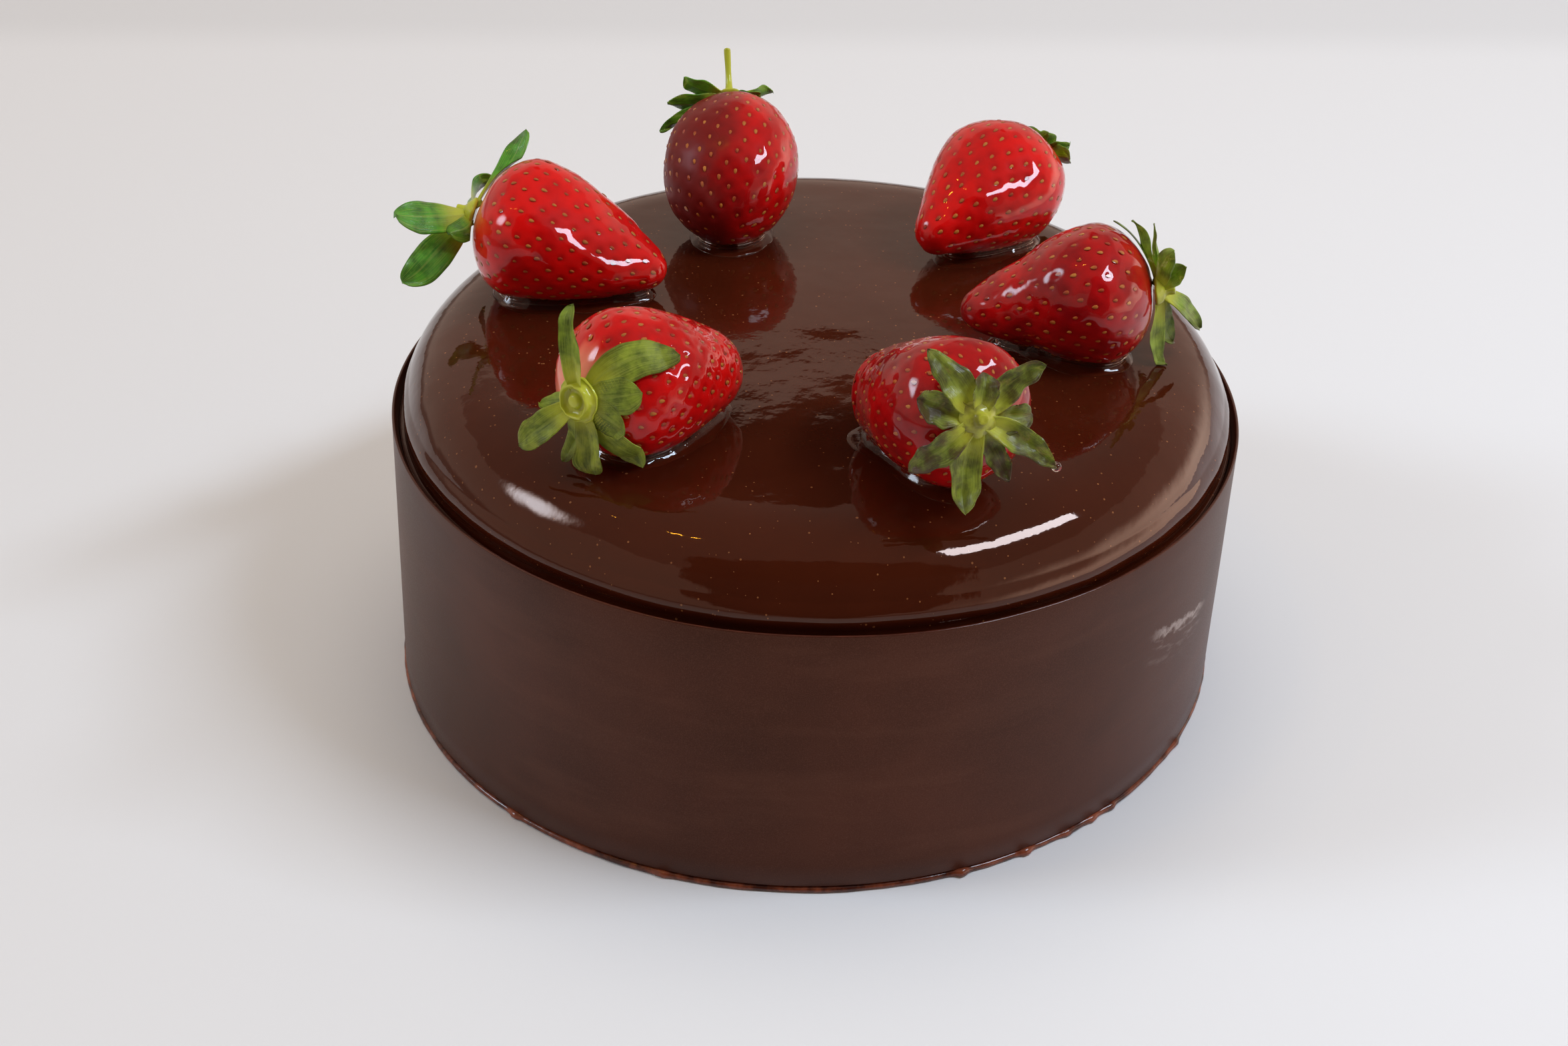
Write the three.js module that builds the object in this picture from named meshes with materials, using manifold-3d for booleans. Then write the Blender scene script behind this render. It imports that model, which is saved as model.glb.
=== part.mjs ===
// Strawberry chocolate cake: a glazed round cake, wrapped in a thin chocolate band,
// with a ring of six whole strawberries lying on the glaze, tips towards the middle.
// Millimetres, +Z up. The origin is the centre of the flat base and -Y is the front.

import * as THREE from 'three';
import { mergeVertices } from 'three/addons/utils/BufferGeometryUtils.js';
import Module from 'manifold-3d';

const wasm = await Module();
wasm.setup();

// ---------------------------------------------------------------- driving dimensions

const GAP = 0.3; // clearance between pieces that touch
const ROUND_STEPS = 72; // facets round the cake and its band

const BAND_RADIUS = 90; // outside of the chocolate band
const BAND_HEIGHT = 61.3; // its upper edge, above the base
const BAND_WALL = 1.5;
const BAND_FOOT = 1.6; // its lower edge, above the bead that it stands on
const BAND_CHAMFER = 0.3; // rounding of its upper edge

const BODY_RADIUS = BAND_RADIUS - BAND_WALL - GAP;
const BEAD_RADIUS = BAND_RADIUS + 0.3; // glaze squeezed out at the base
const BEAD_HEIGHT = BAND_FOOT - GAP;
const BEAD_FOOT_IN = 0.9; // the bead draws in at the floor
const BEAD_TOP_IN = 0.6; // and at its top
const BEAD_WIDEST = 0.45; // share of its height where it is widest

const SHOULDER_START = BAND_HEIGHT - 5; // where the side starts to curve in
const SHOULDER_REACH = 20; // how far in the rounded shoulder goes
const SHOULDER_RISE = 20;
const SHOULDER_POWER = 2.4; // 2 is an ellipse, more is squarer
const SHOULDER_STEPS = 11;
const CROWN = 2.6; // gentle doming of the top

const LEAN = 2.1; // the top's centre stands this far right of the base's
const SLOPE_RIGHT = -0.020; // the top falls away to the right
const SLOPE_BACK = -0.027; // and to the back

const FRUIT_ROUND = 20; // facets round a strawberry
const FRUIT_LONG = 12; // and along it
const FRUIT_TALL = 0.96; // height over width of its section
const FRUIT_SINK = 1.2; // how deep it sits in the glaze
const LUMP_BROAD = 0.018; // three broad swellings round the flesh, as a share of its radius
const LUMP_FINE = 0.012; // and five finer ones
const WAIST_ALONG = 0.66; // where the flesh is pinched, as a share of its length
const WAIST_LONG = 0.13; // how far the pinch reaches
const TIP_BLEND = 6; // how closely the flesh follows its cone and its round tip
const REST_LONG = 24; // points along and round the flesh that are tried on the glaze
const REST_ROUND = 36;

const SEEDS = 28; // on each strawberry, before those at its foot are left off
const SEED_LENGTH = 1.9;
const SEED_WIDTH = 1.3;
const SEED_PROUD = 0.45;
const SEED_ROOT = 0.5; // depth of its middle in the flesh
const SEED_FIRST = 0.1; // share of the length where the seeds start
const SEED_SPAN = 0.82; // and the share that they cover
const SEED_CROWDING = 1.15; // more than 1 crowds them towards the calyx
const SEED_CLEAR = 2.2; // height over the glaze below which none is set

const LEAF_THICKNESS = 0.6;
const LEAF_LONG = 6; // facets along a leaf; two across
const LEAF_ACROSS = 2;
const LEAF_ROOT = 1; // where it starts, from the middle of the crown
const LEAF_NECK = 0.45; // width at its root as a share of its full width
const LEAF_TAPER = 2.2; // how late it narrows to its tip
const LEAF_POINT = 0.75; // how blunt that tip is
const LEAF_FOLD = 0.22; // how far its halves rise from the midrib
const LEAF_RIPPLE = 0.1; // wave of its edge as a share of its width
const LEAF_WAVES = 7;
const LEAF_HELD = 0.1; // share of its length that is rooted in the crown
const SPINE_STEPS = 12;
const SHOULDER_SPARE = 1.03; // the lumps of the flesh, for what has to keep clear of it

const HUB_HEIGHT = 1.9; // the green crown that the leaves grow from
const HUB_EDGE = 0.35; // height of its rim as a share of its own
const HUB_TOP = 0.7; // and of the foot of the stalk
const HUB_STEPS = 12;
const HUB_CLEAR = GAP + 0.25; // from the end of the flesh
const STALK_RADIUS = 1.1;
const STALK_BEND = 0.04; // sideways, by the square of the height

const GOLDEN_TURN = Math.PI * (3 - Math.sqrt(5));

// Each strawberry: plan position of its middle, heading from calyx to tip, how far the tip
// dips, length, width, the share of the length where it is widest, how full its nose is
// (nose, taper), the radius of its rounded tip, and a waist that pinches the flesh before it.
// crown is how far the calyx is turned off the axis, to the left and up; hub is its radius.
// Each leaf: turn round the fruit's axis (0 left of the heading, 90 up), length, width, flare
// (0 square to the axis, more points away from the fruit, less lies back over it), bend
// (how much the flare grows from base to tip), its own twist, and where it is widest.
const STRAWBERRIES = [
  {
    x: -29, y: -43, heading: 41, dip: 13, length: 40, width: 30, widest: 0.28, nose: 1.8,
    taper: 1.7, tip: 7, waist: 0.02, crown: [-12, -2], hub: 4.6, stalk: 'cup',
    leaves: [
      [75, 15, 5, 0, -30, 0, 0.4], [138, 17.3, 7, -30, 20, 0, 0.6], [157, 7.7, 6, -26, 25, 0, 0.55],
      [-164, 8.1, 6, -5, 120, 0, 0.5], [-141, 13.8, 5, -22, 30, 0, 0.6],
      [-110, 10.9, 6.6, -2, 30, 0, 0.7], [-78, 12.1, 4.2, -5, 90, 0, 0.5],
      [-52, 11.4, 5.6, 20, -20, 0, 0.6], [-25, 5.4, 3.2, 0, 40, 0, 0.5],
    ],
  },
  {
    x: -50, y: 14, heading: -7, dip: 17, length: 42, width: 31, widest: 0.26, nose: 1.5,
    taper: 1.4, tip: 5, waist: 0, crown: [0, -3], hub: 3.2, stalk: 'stub',
    leaves: [
      [-140, 18.4, 7.4, 25, 0, 75, 0.6], [170, 17, 7.4, 43, 0, 50, 0.6], [42, 19, 5.4, -16, 25, 55, 0.72],
      [-174, 7, 5, 22, 110, 60, 0.5], [5, 12, 5.2, 0, -30, 0, 0.5], [-35, 12, 5.6, 12, 25, 0, 0.5],
    ],
  },
  {
    x: -17, y: 46, heading: -95, dip: 25, length: 37, width: 30, widest: 0.5, nose: 2.1,
    taper: 1.7, tip: 9, waist: 0, crown: [-7, 2], hub: 3.2, stalk: 'long',
    leaves: [
      [149, 8.9, 5, 5, 20, 0, 0.6], [170, 11.2, 5.2, -10, 30, 0, 0.6], [-172, 14.4, 4.2, -20, 20, 0, 0.6],
      [24, 5, 4.2, -12, 30, 0, 0.5], [-130, 12, 5.2, 0, -30, 0, 0.5], [-85, 11, 5.2, 10, -20, 0, 0.5],
      [-28, 9, 4.8, 28, 20, 0, 0.5],
    ],
  },
  {
    x: 38.3, y: 40.4, heading: -132, dip: 10, length: 40, width: 30, widest: 0.34, nose: 1.35,
    taper: 1.35, tip: 5, waist: 0, crown: [0, 0], hub: 3.2, stalk: 'stub',
    leaves: [
      [64, 3.4, 3.6, 2, 10, 0, 0.5], [95, 5, 3.4, -22, 20, 0, 0.5], [18, 8.3, 4.6, -10, 20, 0, 0.6],
      [26, 5.1, 3.6, 12, 30, 0, 0.5], [-92, 10, 5.2, 10, -20, 0, 0.5], [-122, 11, 5.2, 10, -30, 0, 0.5],
      [-165, 9, 5.2, 5, 30, 0, 0.5],
    ],
  },
  {
    x: 51.6, y: -6, heading: 176, dip: 12, length: 39.8, width: 30, widest: 0.28, nose: 1.5,
    taper: 1.4, tip: 4.5, waist: 0.07, crown: [4, -4], hub: 3.2, stalk: 'stub',
    leaves: [
      [115, 13, 3.2, -40, 10, 0, 0.45], [110, 12.5, 2.8, -12, 30, 0, 0.45], [130, 11, 4.4, 0, 40, 0, 0.55],
      [75, 9, 3.6, 20, 50, 0, 0.5], [79, 5.7, 3, 50, 10, 0, 0.5], [-113, 11.7, 5.8, 32, -20, 0, 0.7],
      [-100, 11, 3.6, 6, 10, 0, 0.5], [-80, 15, 3.4, -4, 20, 0, 0.4], [-160, 11, 4.8, 0, 20, 0, 0.5],
    ],
  },
  {
    x: 24.8, y: -53.7, heading: 119, dip: 20, length: 43.2, width: 29.4, widest: 0.32, nose: 2.3,
    taper: 2, tip: 8, waist: 0.06, crown: [12, 6], hub: 3.6, stalk: 'stub',
    leaves: [
      [68, 12.8, 6, -8, -20, 0, 0.28], [110, 5.6, 5, -5, -70, 0, 0.5], [149, 13.7, 5.2, 8, 50, 0, 0.32],
      [-166, 8.3, 5.2, -12, 20, 0, 0.68], [-139, 14, 5, 5, 20, 0, 0.36],
      [-107, 10.5, 4.4, -8, 40, 0, 0.5], [-67, 14.7, 6, -5, 30, 0, 0.5],
      [-26, 12.6, 5.4, -12, -40, 0, 0.6], [28, 9.1, 6.2, -8, 30, 0, 0.6],
    ],
  },
];

// ---------------------------------------------------------------- finishes

function finish(colour, roughness) {
  return new THREE.MeshStandardMaterial({ color: colour, roughness: roughness, metalness: 0 });
}

const glazeFinish = finish('#3f1c12', 0.08); // dark chocolate mirror glaze
const bandFinish = finish('#3b2a25', 0.45); // satin tempered chocolate
const fruitFinish = finish('#b8141a', 0.15); // ripe strawberry under clear nappage
const leafFinish = finish('#5b7a2a', 0.55);

// ---------------------------------------------------------------- solids from geometries

// A closed solid from a three.js geometry: shared vertices merged, flat triangles dropped.
function solidFrom(geometry) {
  const bare = geometry.clone();
  bare.deleteAttribute('normal');
  bare.deleteAttribute('uv');
  const merged = mergeVertices(bare, 1e-4);
  const index = merged.index.array;
  const kept = [];
  for (let i = 0; i < index.length; i += 3) {
    const [a, b, c] = [index[i], index[i + 1], index[i + 2]];
    if (a !== b && b !== c && c !== a) kept.push(a, b, c);
  }
  const mesh = new wasm.Mesh({
    numProp: 3,
    vertProperties: new Float32Array(merged.attributes.position.array),
    triVerts: new Uint32Array(kept),
  });
  return new wasm.Manifold(mesh);
}

function geometryFrom(solid) {
  const mesh = solid.getMesh();
  const geometry = new THREE.BufferGeometry();
  geometry.setAttribute('position', new THREE.BufferAttribute(mesh.vertProperties, 3));
  geometry.setIndex(new THREE.BufferAttribute(mesh.triVerts, 1));
  geometry.computeVertexNormals();
  return geometry;
}

// Moves every vertex of a geometry by a function of its own place.
function reshape(geometry, move) {
  const place = geometry.attributes.position;
  const point = new THREE.Vector3();
  for (let i = 0; i < place.count; i += 1) {
    point.fromBufferAttribute(place, i);
    const moved = move(point.clone());
    place.setXYZ(i, moved.x, moved.y, moved.z);
  }
  return geometry;
}

// A turned solid about +Z from a profile of [radius, height] pairs.
function turned(profile, steps) {
  const points = profile.map(([radius, height]) => new THREE.Vector2(radius, height));
  return new THREE.LatheGeometry(points, steps).rotateX(Math.PI / 2);
}

// ---------------------------------------------------------------- cake and band

// The cake isn't quite true: it leans to the right, and its top slopes.
function lean(point) {
  const share = Math.min(1, point.z / BAND_HEIGHT);
  const slope = SLOPE_RIGHT * point.x + SLOPE_BACK * point.y;
  return new THREE.Vector3(point.x + LEAN * share, point.y, point.z + slope * share);
}

// Height of the glazed top at a radius, before the lean.
function domeHeight(radius) {
  const flat = BODY_RADIUS - SHOULDER_REACH;
  const out = THREE.MathUtils.clamp((radius - flat) / SHOULDER_REACH, 0, 1);
  const shoulder = (1 - out ** SHOULDER_POWER) ** (1 / SHOULDER_POWER);
  return SHOULDER_START + SHOULDER_RISE * shoulder + CROWN * (1 - (radius / BODY_RADIUS) ** 2);
}

// Height of the glaze over a plan point of the finished cake.
function glazeHeight(x, y) {
  const own = x - LEAN;
  return domeHeight(Math.hypot(own, y)) + SLOPE_RIGHT * own + SLOPE_BACK * y;
}

// Outline of the cake from the base's centre to the top's, swollen by a clearance.
function cakeProfile(swell) {
  const profile = [
    [0, -swell],
    [BEAD_RADIUS - BEAD_FOOT_IN + swell, -swell],
    [BEAD_RADIUS + swell, BEAD_WIDEST * BEAD_HEIGHT],
    [BEAD_RADIUS - BEAD_TOP_IN + swell, BEAD_HEIGHT + swell],
    [BODY_RADIUS + swell, BEAD_HEIGHT + swell],
  ];
  for (let i = 0; i <= SHOULDER_STEPS; i += 1) {
    const turn = (Math.PI / 2) * (i / SHOULDER_STEPS);
    const radius = BODY_RADIUS - SHOULDER_REACH * (1 - Math.cos(turn) ** (2 / SHOULDER_POWER));
    profile.push([radius + swell, domeHeight(radius) + swell]);
  }
  for (const share of [2 / 3, 1 / 3]) {
    const radius = (BODY_RADIUS - SHOULDER_REACH) * share;
    profile.push([radius, domeHeight(radius) + swell]);
  }
  profile.push([0, domeHeight(0) + swell]);
  return profile;
}

function cakeSolid(swell) {
  return solidFrom(reshape(turned(cakeProfile(swell), ROUND_STEPS), lean));
}

// The band stands on the bead and stops a little above the start of the shoulder.
function bandSolid() {
  const inner = BAND_RADIUS - BAND_WALL;
  const profile = [
    [inner, BAND_FOOT],
    [BAND_RADIUS, BAND_FOOT],
    [BAND_RADIUS, BAND_HEIGHT - BAND_CHAMFER],
    [BAND_RADIUS - BAND_CHAMFER, BAND_HEIGHT],
    [inner, BAND_HEIGHT],
    [inner, BAND_FOOT],
  ];
  return solidFrom(reshape(turned(profile, ROUND_STEPS), lean));
}

// ---------------------------------------------------------------- strawberries

// Share of the full width at a share of the length from calyx to tip.
function girth(fruit, along) {
  if (along < fruit.widest) return Math.sqrt(Math.max(0, 1 - (1 - along / fruit.widest) ** 2));
  const past = Math.min(1, (along - fruit.widest) / (1 - fruit.widest));
  const cone = Math.max(0, 1 - past ** fruit.nose) ** (1 / fruit.taper);
  const pinch = fruit.waist * Math.exp(-(((along - WAIST_ALONG) / WAIST_LONG) ** 2));
  const pinched = Math.max(0, cone - pinch);
  const fromTip = ((1 - along) * fruit.length) / fruit.tip;
  const ball = Math.sqrt(Math.max(0, 1 - (1 - fromTip) ** 2));
  const cap = (ball * fruit.tip) / (fruit.width / 2);
  return (pinched ** TIP_BLEND + cap ** TIP_BLEND) ** (1 / TIP_BLEND);
}

// A point on the flesh in the fruit's own frame: X along the axis from the calyx, Y left, Z up.
function fleshPoint(fruit, along, turn) {
  const broad = LUMP_BROAD * Math.sin(3 * turn + fruit.heading);
  const fine = LUMP_FINE * Math.sin(5 * turn + 4 * along);
  const radius = (fruit.width / 2) * girth(fruit, along) * (1 + broad + fine);
  const side = radius * Math.cos(turn);
  const up = radius * Math.sin(turn) * FRUIT_TALL;
  return new THREE.Vector3(fruit.length * along, side, up);
}

function fleshNormal(fruit, along, turn) {
  const step = 0.01;
  const lengthwise = fleshPoint(fruit, along + step, turn).sub(fleshPoint(fruit, along - step, turn));
  const around = fleshPoint(fruit, along, turn + step).sub(fleshPoint(fruit, along, turn - step));
  return around.cross(lengthwise).normalize();
}

// The fruit's own frame on the cake: heading, dip, and a height at which its belly sits
// FRUIT_SINK deep in the glaze.
function fruitPlacement(fruit) {
  const heading = THREE.MathUtils.degToRad(fruit.heading);
  const dip = THREE.MathUtils.degToRad(fruit.dip);
  const axis = new THREE.Vector3(
    Math.cos(heading) * Math.cos(dip), Math.sin(heading) * Math.cos(dip), -Math.sin(dip),
  );
  const left = new THREE.Vector3(-Math.sin(heading), Math.cos(heading), 0);
  const up = new THREE.Vector3().crossVectors(axis, left);
  const placement = new THREE.Matrix4().makeBasis(axis, left, up);
  placement.setPosition(
    fruit.x - (axis.x * fruit.length) / 2, fruit.y - (axis.y * fruit.length) / 2, 0,
  );
  let lift = -Infinity;
  for (let i = 1; i < REST_LONG; i += 1) {
    for (let j = 0; j < REST_ROUND; j += 1) {
      const turn = (j / REST_ROUND) * 2 * Math.PI;
      const point = fleshPoint(fruit, i / REST_LONG, turn).applyMatrix4(placement);
      lift = Math.max(lift, glazeHeight(point.x, point.y) - point.z);
    }
  }
  placement.elements[14] = lift - FRUIT_SINK;
  return placement;
}

function fleshGeometry(fruit) {
  const ball = new THREE.SphereGeometry(1, FRUIT_ROUND, FRUIT_LONG).rotateZ(Math.PI / 2);
  return reshape(ball, (point) => {
    const along = (1 + THREE.MathUtils.clamp(point.x, -1, 1)) / 2;
    return fleshPoint(fruit, along, Math.atan2(point.z, point.y));
  });
}

// Seeds lie lengthwise, spread by the golden turn, and stop short of the foot of the fruit.
function seedSolids(fruit, placement) {
  const seeds = [];
  for (let i = 0; i < SEEDS; i += 1) {
    const share = (i + 0.5) / SEEDS;
    const along = SEED_FIRST + SEED_SPAN * share ** SEED_CROWDING;
    const turn = i * GOLDEN_TURN;
    const spot = fleshPoint(fruit, along, turn);
    const world = spot.clone().applyMatrix4(placement);
    if (world.z < glazeHeight(world.x, world.y) + SEED_CLEAR) continue;
    const out = fleshNormal(fruit, along, turn);
    const ahead = fleshPoint(fruit, along + 0.01, turn).sub(fleshPoint(fruit, along - 0.01, turn));
    ahead.normalize();
    const basis = new THREE.Matrix4().makeBasis(ahead, new THREE.Vector3().crossVectors(out, ahead), out);
    const seed = new THREE.OctahedronGeometry(1);
    seed.scale(SEED_LENGTH / 2, SEED_WIDTH / 2, SEED_PROUD + SEED_ROOT).translate(0, 0, -SEED_ROOT);
    seeds.push(solidFrom(seed.applyMatrix4(basis.setPosition(spot)).applyMatrix4(placement)));
  }
  return seeds;
}

function strawberrySolid(fruit, placement, bed) {
  let solid = solidFrom(fleshGeometry(fruit).applyMatrix4(placement));
  for (const seed of seedSolids(fruit, placement)) solid = solid.add(seed);
  return solid.subtract(bed);
}

// ---------------------------------------------------------------- calyxes

// Half the width of a leaf at a share of its length: narrower base, oval, pointed tip.
function leafHalfWidth(width, belly, along) {
  const swelling = Math.sin((Math.PI / 2) * Math.min(1, along / belly));
  if (along < belly) return (width / 2) * (LEAF_NECK + (1 - LEAF_NECK) * swelling);
  return (width / 2) * (1 - ((along - belly) / (1 - belly)) ** LEAF_TAPER) ** LEAF_POINT;
}

// Keeps a leaf's point off the flesh: the shoulder of a strawberry is close to an ellipsoid.
function clearOfFlesh(fruit, point) {
  const clear = GAP + LEAF_THICKNESS;
  const centre = fruit.widest * fruit.length;
  const long = centre + clear;
  const wide = (fruit.width / 2) * SHOULDER_SPARE + clear;
  const behind = Math.min(0, point.x - centre);
  const off = Math.hypot(point.y, point.z);
  const level = Math.hypot(behind / long, off / wide);
  if (level >= 1) return point;
  const ahead = Math.max(0, point.x - centre);
  return new THREE.Vector3(centre + ahead + behind / level, point.y / level, point.z / level);
}

function clearOfGlaze(placement, point) {
  const world = point.clone().applyMatrix4(placement);
  const low = glazeHeight(world.x, world.y) + GAP + LEAF_THICKNESS;
  world.z = Math.max(world.z, low);
  return world.applyMatrix4(placement.clone().invert());
}

// Turns the calyx off the fruit's axis, about the middle of its widest place.
function crownTurn(fruit) {
  const [left, up] = fruit.crown.map(THREE.MathUtils.degToRad);
  const centre = fruit.widest * fruit.length;
  const turn = new THREE.Matrix4().makeRotationFromEuler(new THREE.Euler(0, up, -left));
  return new THREE.Matrix4()
    .makeTranslation(centre, 0, 0)
    .multiply(turn)
    .multiply(new THREE.Matrix4().makeTranslation(-centre, 0, 0));
}

// The middle surface of a leaf in the fruit's own frame, before its thickness.
function leafSheet(fruit, placement, [turn, length, width, flare, bend, twist, belly]) {
  const around = THREE.MathUtils.degToRad(turn);
  const rise = THREE.MathUtils.degToRad(flare);
  const out = new THREE.Vector3(0, Math.cos(around), Math.sin(around));
  const ahead = out.clone().multiplyScalar(Math.cos(rise)).setX(-Math.sin(rise));
  const across = new THREE.Vector3(0, -Math.sin(around), Math.cos(around));
  across.applyAxisAngle(ahead, THREE.MathUtils.degToRad(twist));
  const over = new THREE.Vector3().crossVectors(across, ahead);
  const crown = crownTurn(fruit);
  const sheet = new THREE.PlaneGeometry(2, 1, LEAF_ACROSS, LEAF_LONG);
  return reshape(sheet, (point) => {
    const along = point.y + 0.5;
    const spine = new THREE.Vector3(-GAP - HUB_HEIGHT / 2, 0, 0).addScaledVector(out, LEAF_ROOT);
    for (let i = 0; i < SPINE_STEPS; i += 1) {
      const here = ((i + 0.5) / SPINE_STEPS) * along;
      const angle = THREE.MathUtils.degToRad(flare + bend * (here - 0.5));
      const piece = ((length + fruit.hub - LEAF_ROOT) * along) / SPINE_STEPS;
      spine.addScaledVector(out, piece * Math.cos(angle));
      spine.x -= piece * Math.sin(angle);
    }
    const half = leafHalfWidth(width, belly, along);
    const ripple = LEAF_RIPPLE * width * Math.sin(LEAF_WAVES * along + turn);
    spine.addScaledVector(across, point.x * half);
    spine.addScaledVector(over, Math.abs(point.x) * (LEAF_FOLD * half + ripple * along));
    spine.applyMatrix4(crown);
    if (along < LEAF_HELD) return spine;
    return clearOfGlaze(placement, clearOfFlesh(fruit, spine));
  });
}

// A thin solid: two copies of the sheet, split into triangles alike, that meet at the rim.
function leafSolid(fruit, placement, leaf) {
  const sheet = leafSheet(fruit, placement, leaf);
  sheet.computeVertexNormals();
  const place = sheet.attributes.position;
  const normal = sheet.attributes.normal;
  const count = place.count;
  const points = new Float32Array(count * 6);
  for (let i = 0; i < count; i += 1) {
    const column = i % (LEAF_ACROSS + 1);
    const row = Math.floor(i / (LEAF_ACROSS + 1));
    const rim = column % LEAF_ACROSS === 0 || row % LEAF_LONG === 0;
    const half = rim ? 0 : LEAF_THICKNESS / 2;
    for (const [copy, way] of [[0, 1], [1, -1]]) {
      const at = (copy * count + i) * 3;
      points[at] = place.getX(i) + way * half * normal.getX(i);
      points[at + 1] = place.getY(i) + way * half * normal.getY(i);
      points[at + 2] = place.getZ(i) + way * half * normal.getZ(i);
    }
  }
  const faces = [];
  const split = sheet.index.array;
  for (let i = 0; i < split.length; i += 3) {
    faces.push(split[i], split[i + 1], split[i + 2]);
    faces.push(split[i] + count, split[i + 2] + count, split[i + 1] + count);
  }
  const geometry = new THREE.BufferGeometry();
  geometry.setAttribute('position', new THREE.BufferAttribute(points, 3));
  geometry.setIndex(faces);
  return solidFrom(geometry);
}

// The crown of a calyx, with the end of its stalk: a hollow cut cup, a stub, or a long stalk.
const STALK_ENDS = {
  cup: [[3.3, 0.5], [3, 1.4], [2.3, 1], [1.4, 0.1], [0, -0.1]],
  stub: [[2.2, 0.5], [STALK_RADIUS, 0.9], [STALK_RADIUS * 0.9, 2.6], [0, 2.8]],
  long: [[1.8, 0.5], [STALK_RADIUS * 0.8, 1.2], [STALK_RADIUS * 0.6, 5], [STALK_RADIUS * 0.7, 9], [0, 9.2]],
};

function hubSolid(fruit) {
  const profile = [[0, 0], [fruit.hub, 0], [fruit.hub, HUB_EDGE * HUB_HEIGHT]];
  for (const [radius, height] of STALK_ENDS[fruit.stalk]) {
    profile.push([radius, HUB_TOP * HUB_HEIGHT + height]);
  }
  const hub = turned(profile, HUB_STEPS);
  if (fruit.stalk === 'long') reshape(hub, (point) => point.setX(point.x + STALK_BEND * point.z ** 2));
  hub.rotateY(-Math.PI / 2).translate(-HUB_CLEAR, 0, 0);
  return solidFrom(hub.applyMatrix4(crownTurn(fruit)));
}

function calyxSolid(fruit, placement) {
  let solid = hubSolid(fruit);
  for (const leaf of fruit.leaves) solid = solid.add(leafSolid(fruit, placement, leaf));
  return solid;
}

// ---------------------------------------------------------------- the cake, put together

function part(name, geometry, material) {
  const mesh = new THREE.Mesh(geometry, material);
  mesh.name = name;
  return mesh;
}

const cake = new THREE.Group();
cake.add(part('glazed_cake', geometryFrom(cakeSolid(0)), glazeFinish));
cake.add(part('chocolate_band', geometryFrom(bandSolid()), bandFinish));

const bed = cakeSolid(GAP);
STRAWBERRIES.forEach((fruit, i) => {
  const placement = fruitPlacement(fruit);
  const flesh = geometryFrom(strawberrySolid(fruit, placement, bed));
  cake.add(part(`strawberry_${i + 1}`, flesh, fruitFinish));
  const calyx = geometryFrom(calyxSolid(fruit, placement)).applyMatrix4(placement);
  cake.add(part(`calyx_${i + 1}`, calyx, leafFinish));
});

export default cake;
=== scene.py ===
"""Looks of a strawberry chocolate cake, laid out as an add-on.

A round mousse cake under a dark mirror glaze, wrapped in a thin band of tempered chocolate,
with six whole strawberries lying on it under clear nappage. Lengths in the tables are
millimetres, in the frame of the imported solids: base centre at the origin, front at -Y.
"""

import math
import random

import bmesh
import bpy
from mathutils import Euler, Matrix, Vector, kdtree, noise


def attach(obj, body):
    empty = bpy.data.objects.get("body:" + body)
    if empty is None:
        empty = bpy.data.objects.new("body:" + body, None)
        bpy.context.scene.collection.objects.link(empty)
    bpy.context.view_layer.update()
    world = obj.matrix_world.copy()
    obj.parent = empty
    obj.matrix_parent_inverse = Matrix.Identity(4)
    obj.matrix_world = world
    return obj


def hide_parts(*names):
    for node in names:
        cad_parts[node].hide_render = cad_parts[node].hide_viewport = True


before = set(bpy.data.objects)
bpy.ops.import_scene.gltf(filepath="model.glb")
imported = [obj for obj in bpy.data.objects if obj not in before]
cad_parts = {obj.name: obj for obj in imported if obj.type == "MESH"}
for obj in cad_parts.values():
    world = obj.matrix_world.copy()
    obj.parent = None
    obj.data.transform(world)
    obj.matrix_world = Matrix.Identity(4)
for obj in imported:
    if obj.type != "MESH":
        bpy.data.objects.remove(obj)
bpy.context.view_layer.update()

bl_info = {
    "name": "Strawberry chocolate cake",
    "version": (1, 0, 0),
    "blender": (4, 5, 0),
    "location": "3D View > Sidebar > Cake",
    "description": "Builds a glazed chocolate cake with a chocolate band and strawberries",
    "category": "Add Mesh",
}

MM = 0.001
TURN = 2 * math.pi

# noise_vector goes by the clock unless it is seeded: the film's waves would differ every time
noise.seed_set(1)

# ---------------------------------------------------------------- sizes, in millimetres

GAP = 0.3
GLAZE_RADIUS = 88.2
# radius and height of the core that the band hides
CORE = (
    (0, 0), (45, 0), (87.6, 0), (88.1, 0.5), (GLAZE_RADIUS, 20), (GLAZE_RADIUS, 40), (88.3, 56),
)
# where the glaze turns under at the foot of its shoulder and pools against the band:
# radius and height of points that a smooth line runs through
LIP = (
    (88.45, 59.3), (88.2, 59.0), (87.8, 59.1), (87.5, 59.8), (87.5, 60.7),
    (87.75, 61.6), (87.9, 62.6), (87.8, 63.7), (87.3, 65.0), (86.5, 66.45),
)
LIP_DRAWN_IN = 232  # degrees round to where the lip stands furthest from the band
SHOULDER_START = 56.3
SHOULDER_REACH = 20
SHOULDER_RISE = 20
SHOULDER_POWER = 2.4
SHOULDER_STEPS = 60
FLAT_RADIUS = GLAZE_RADIUS - SHOULDER_REACH
FLAT_STEPS = 52
CROWN = 2.6
LEAN = 2.1
SLOPE_RIGHT = -0.020
SLOPE_BACK = -0.027
ROUND_STEPS = 360

BAND_FOOT = 1.6
BAND_CHAMFER = 0.3
BAND_FOOT_CHAMFER = 0.2
BAND_WAVE = 0.22  # how uneven its upper edge is
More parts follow.
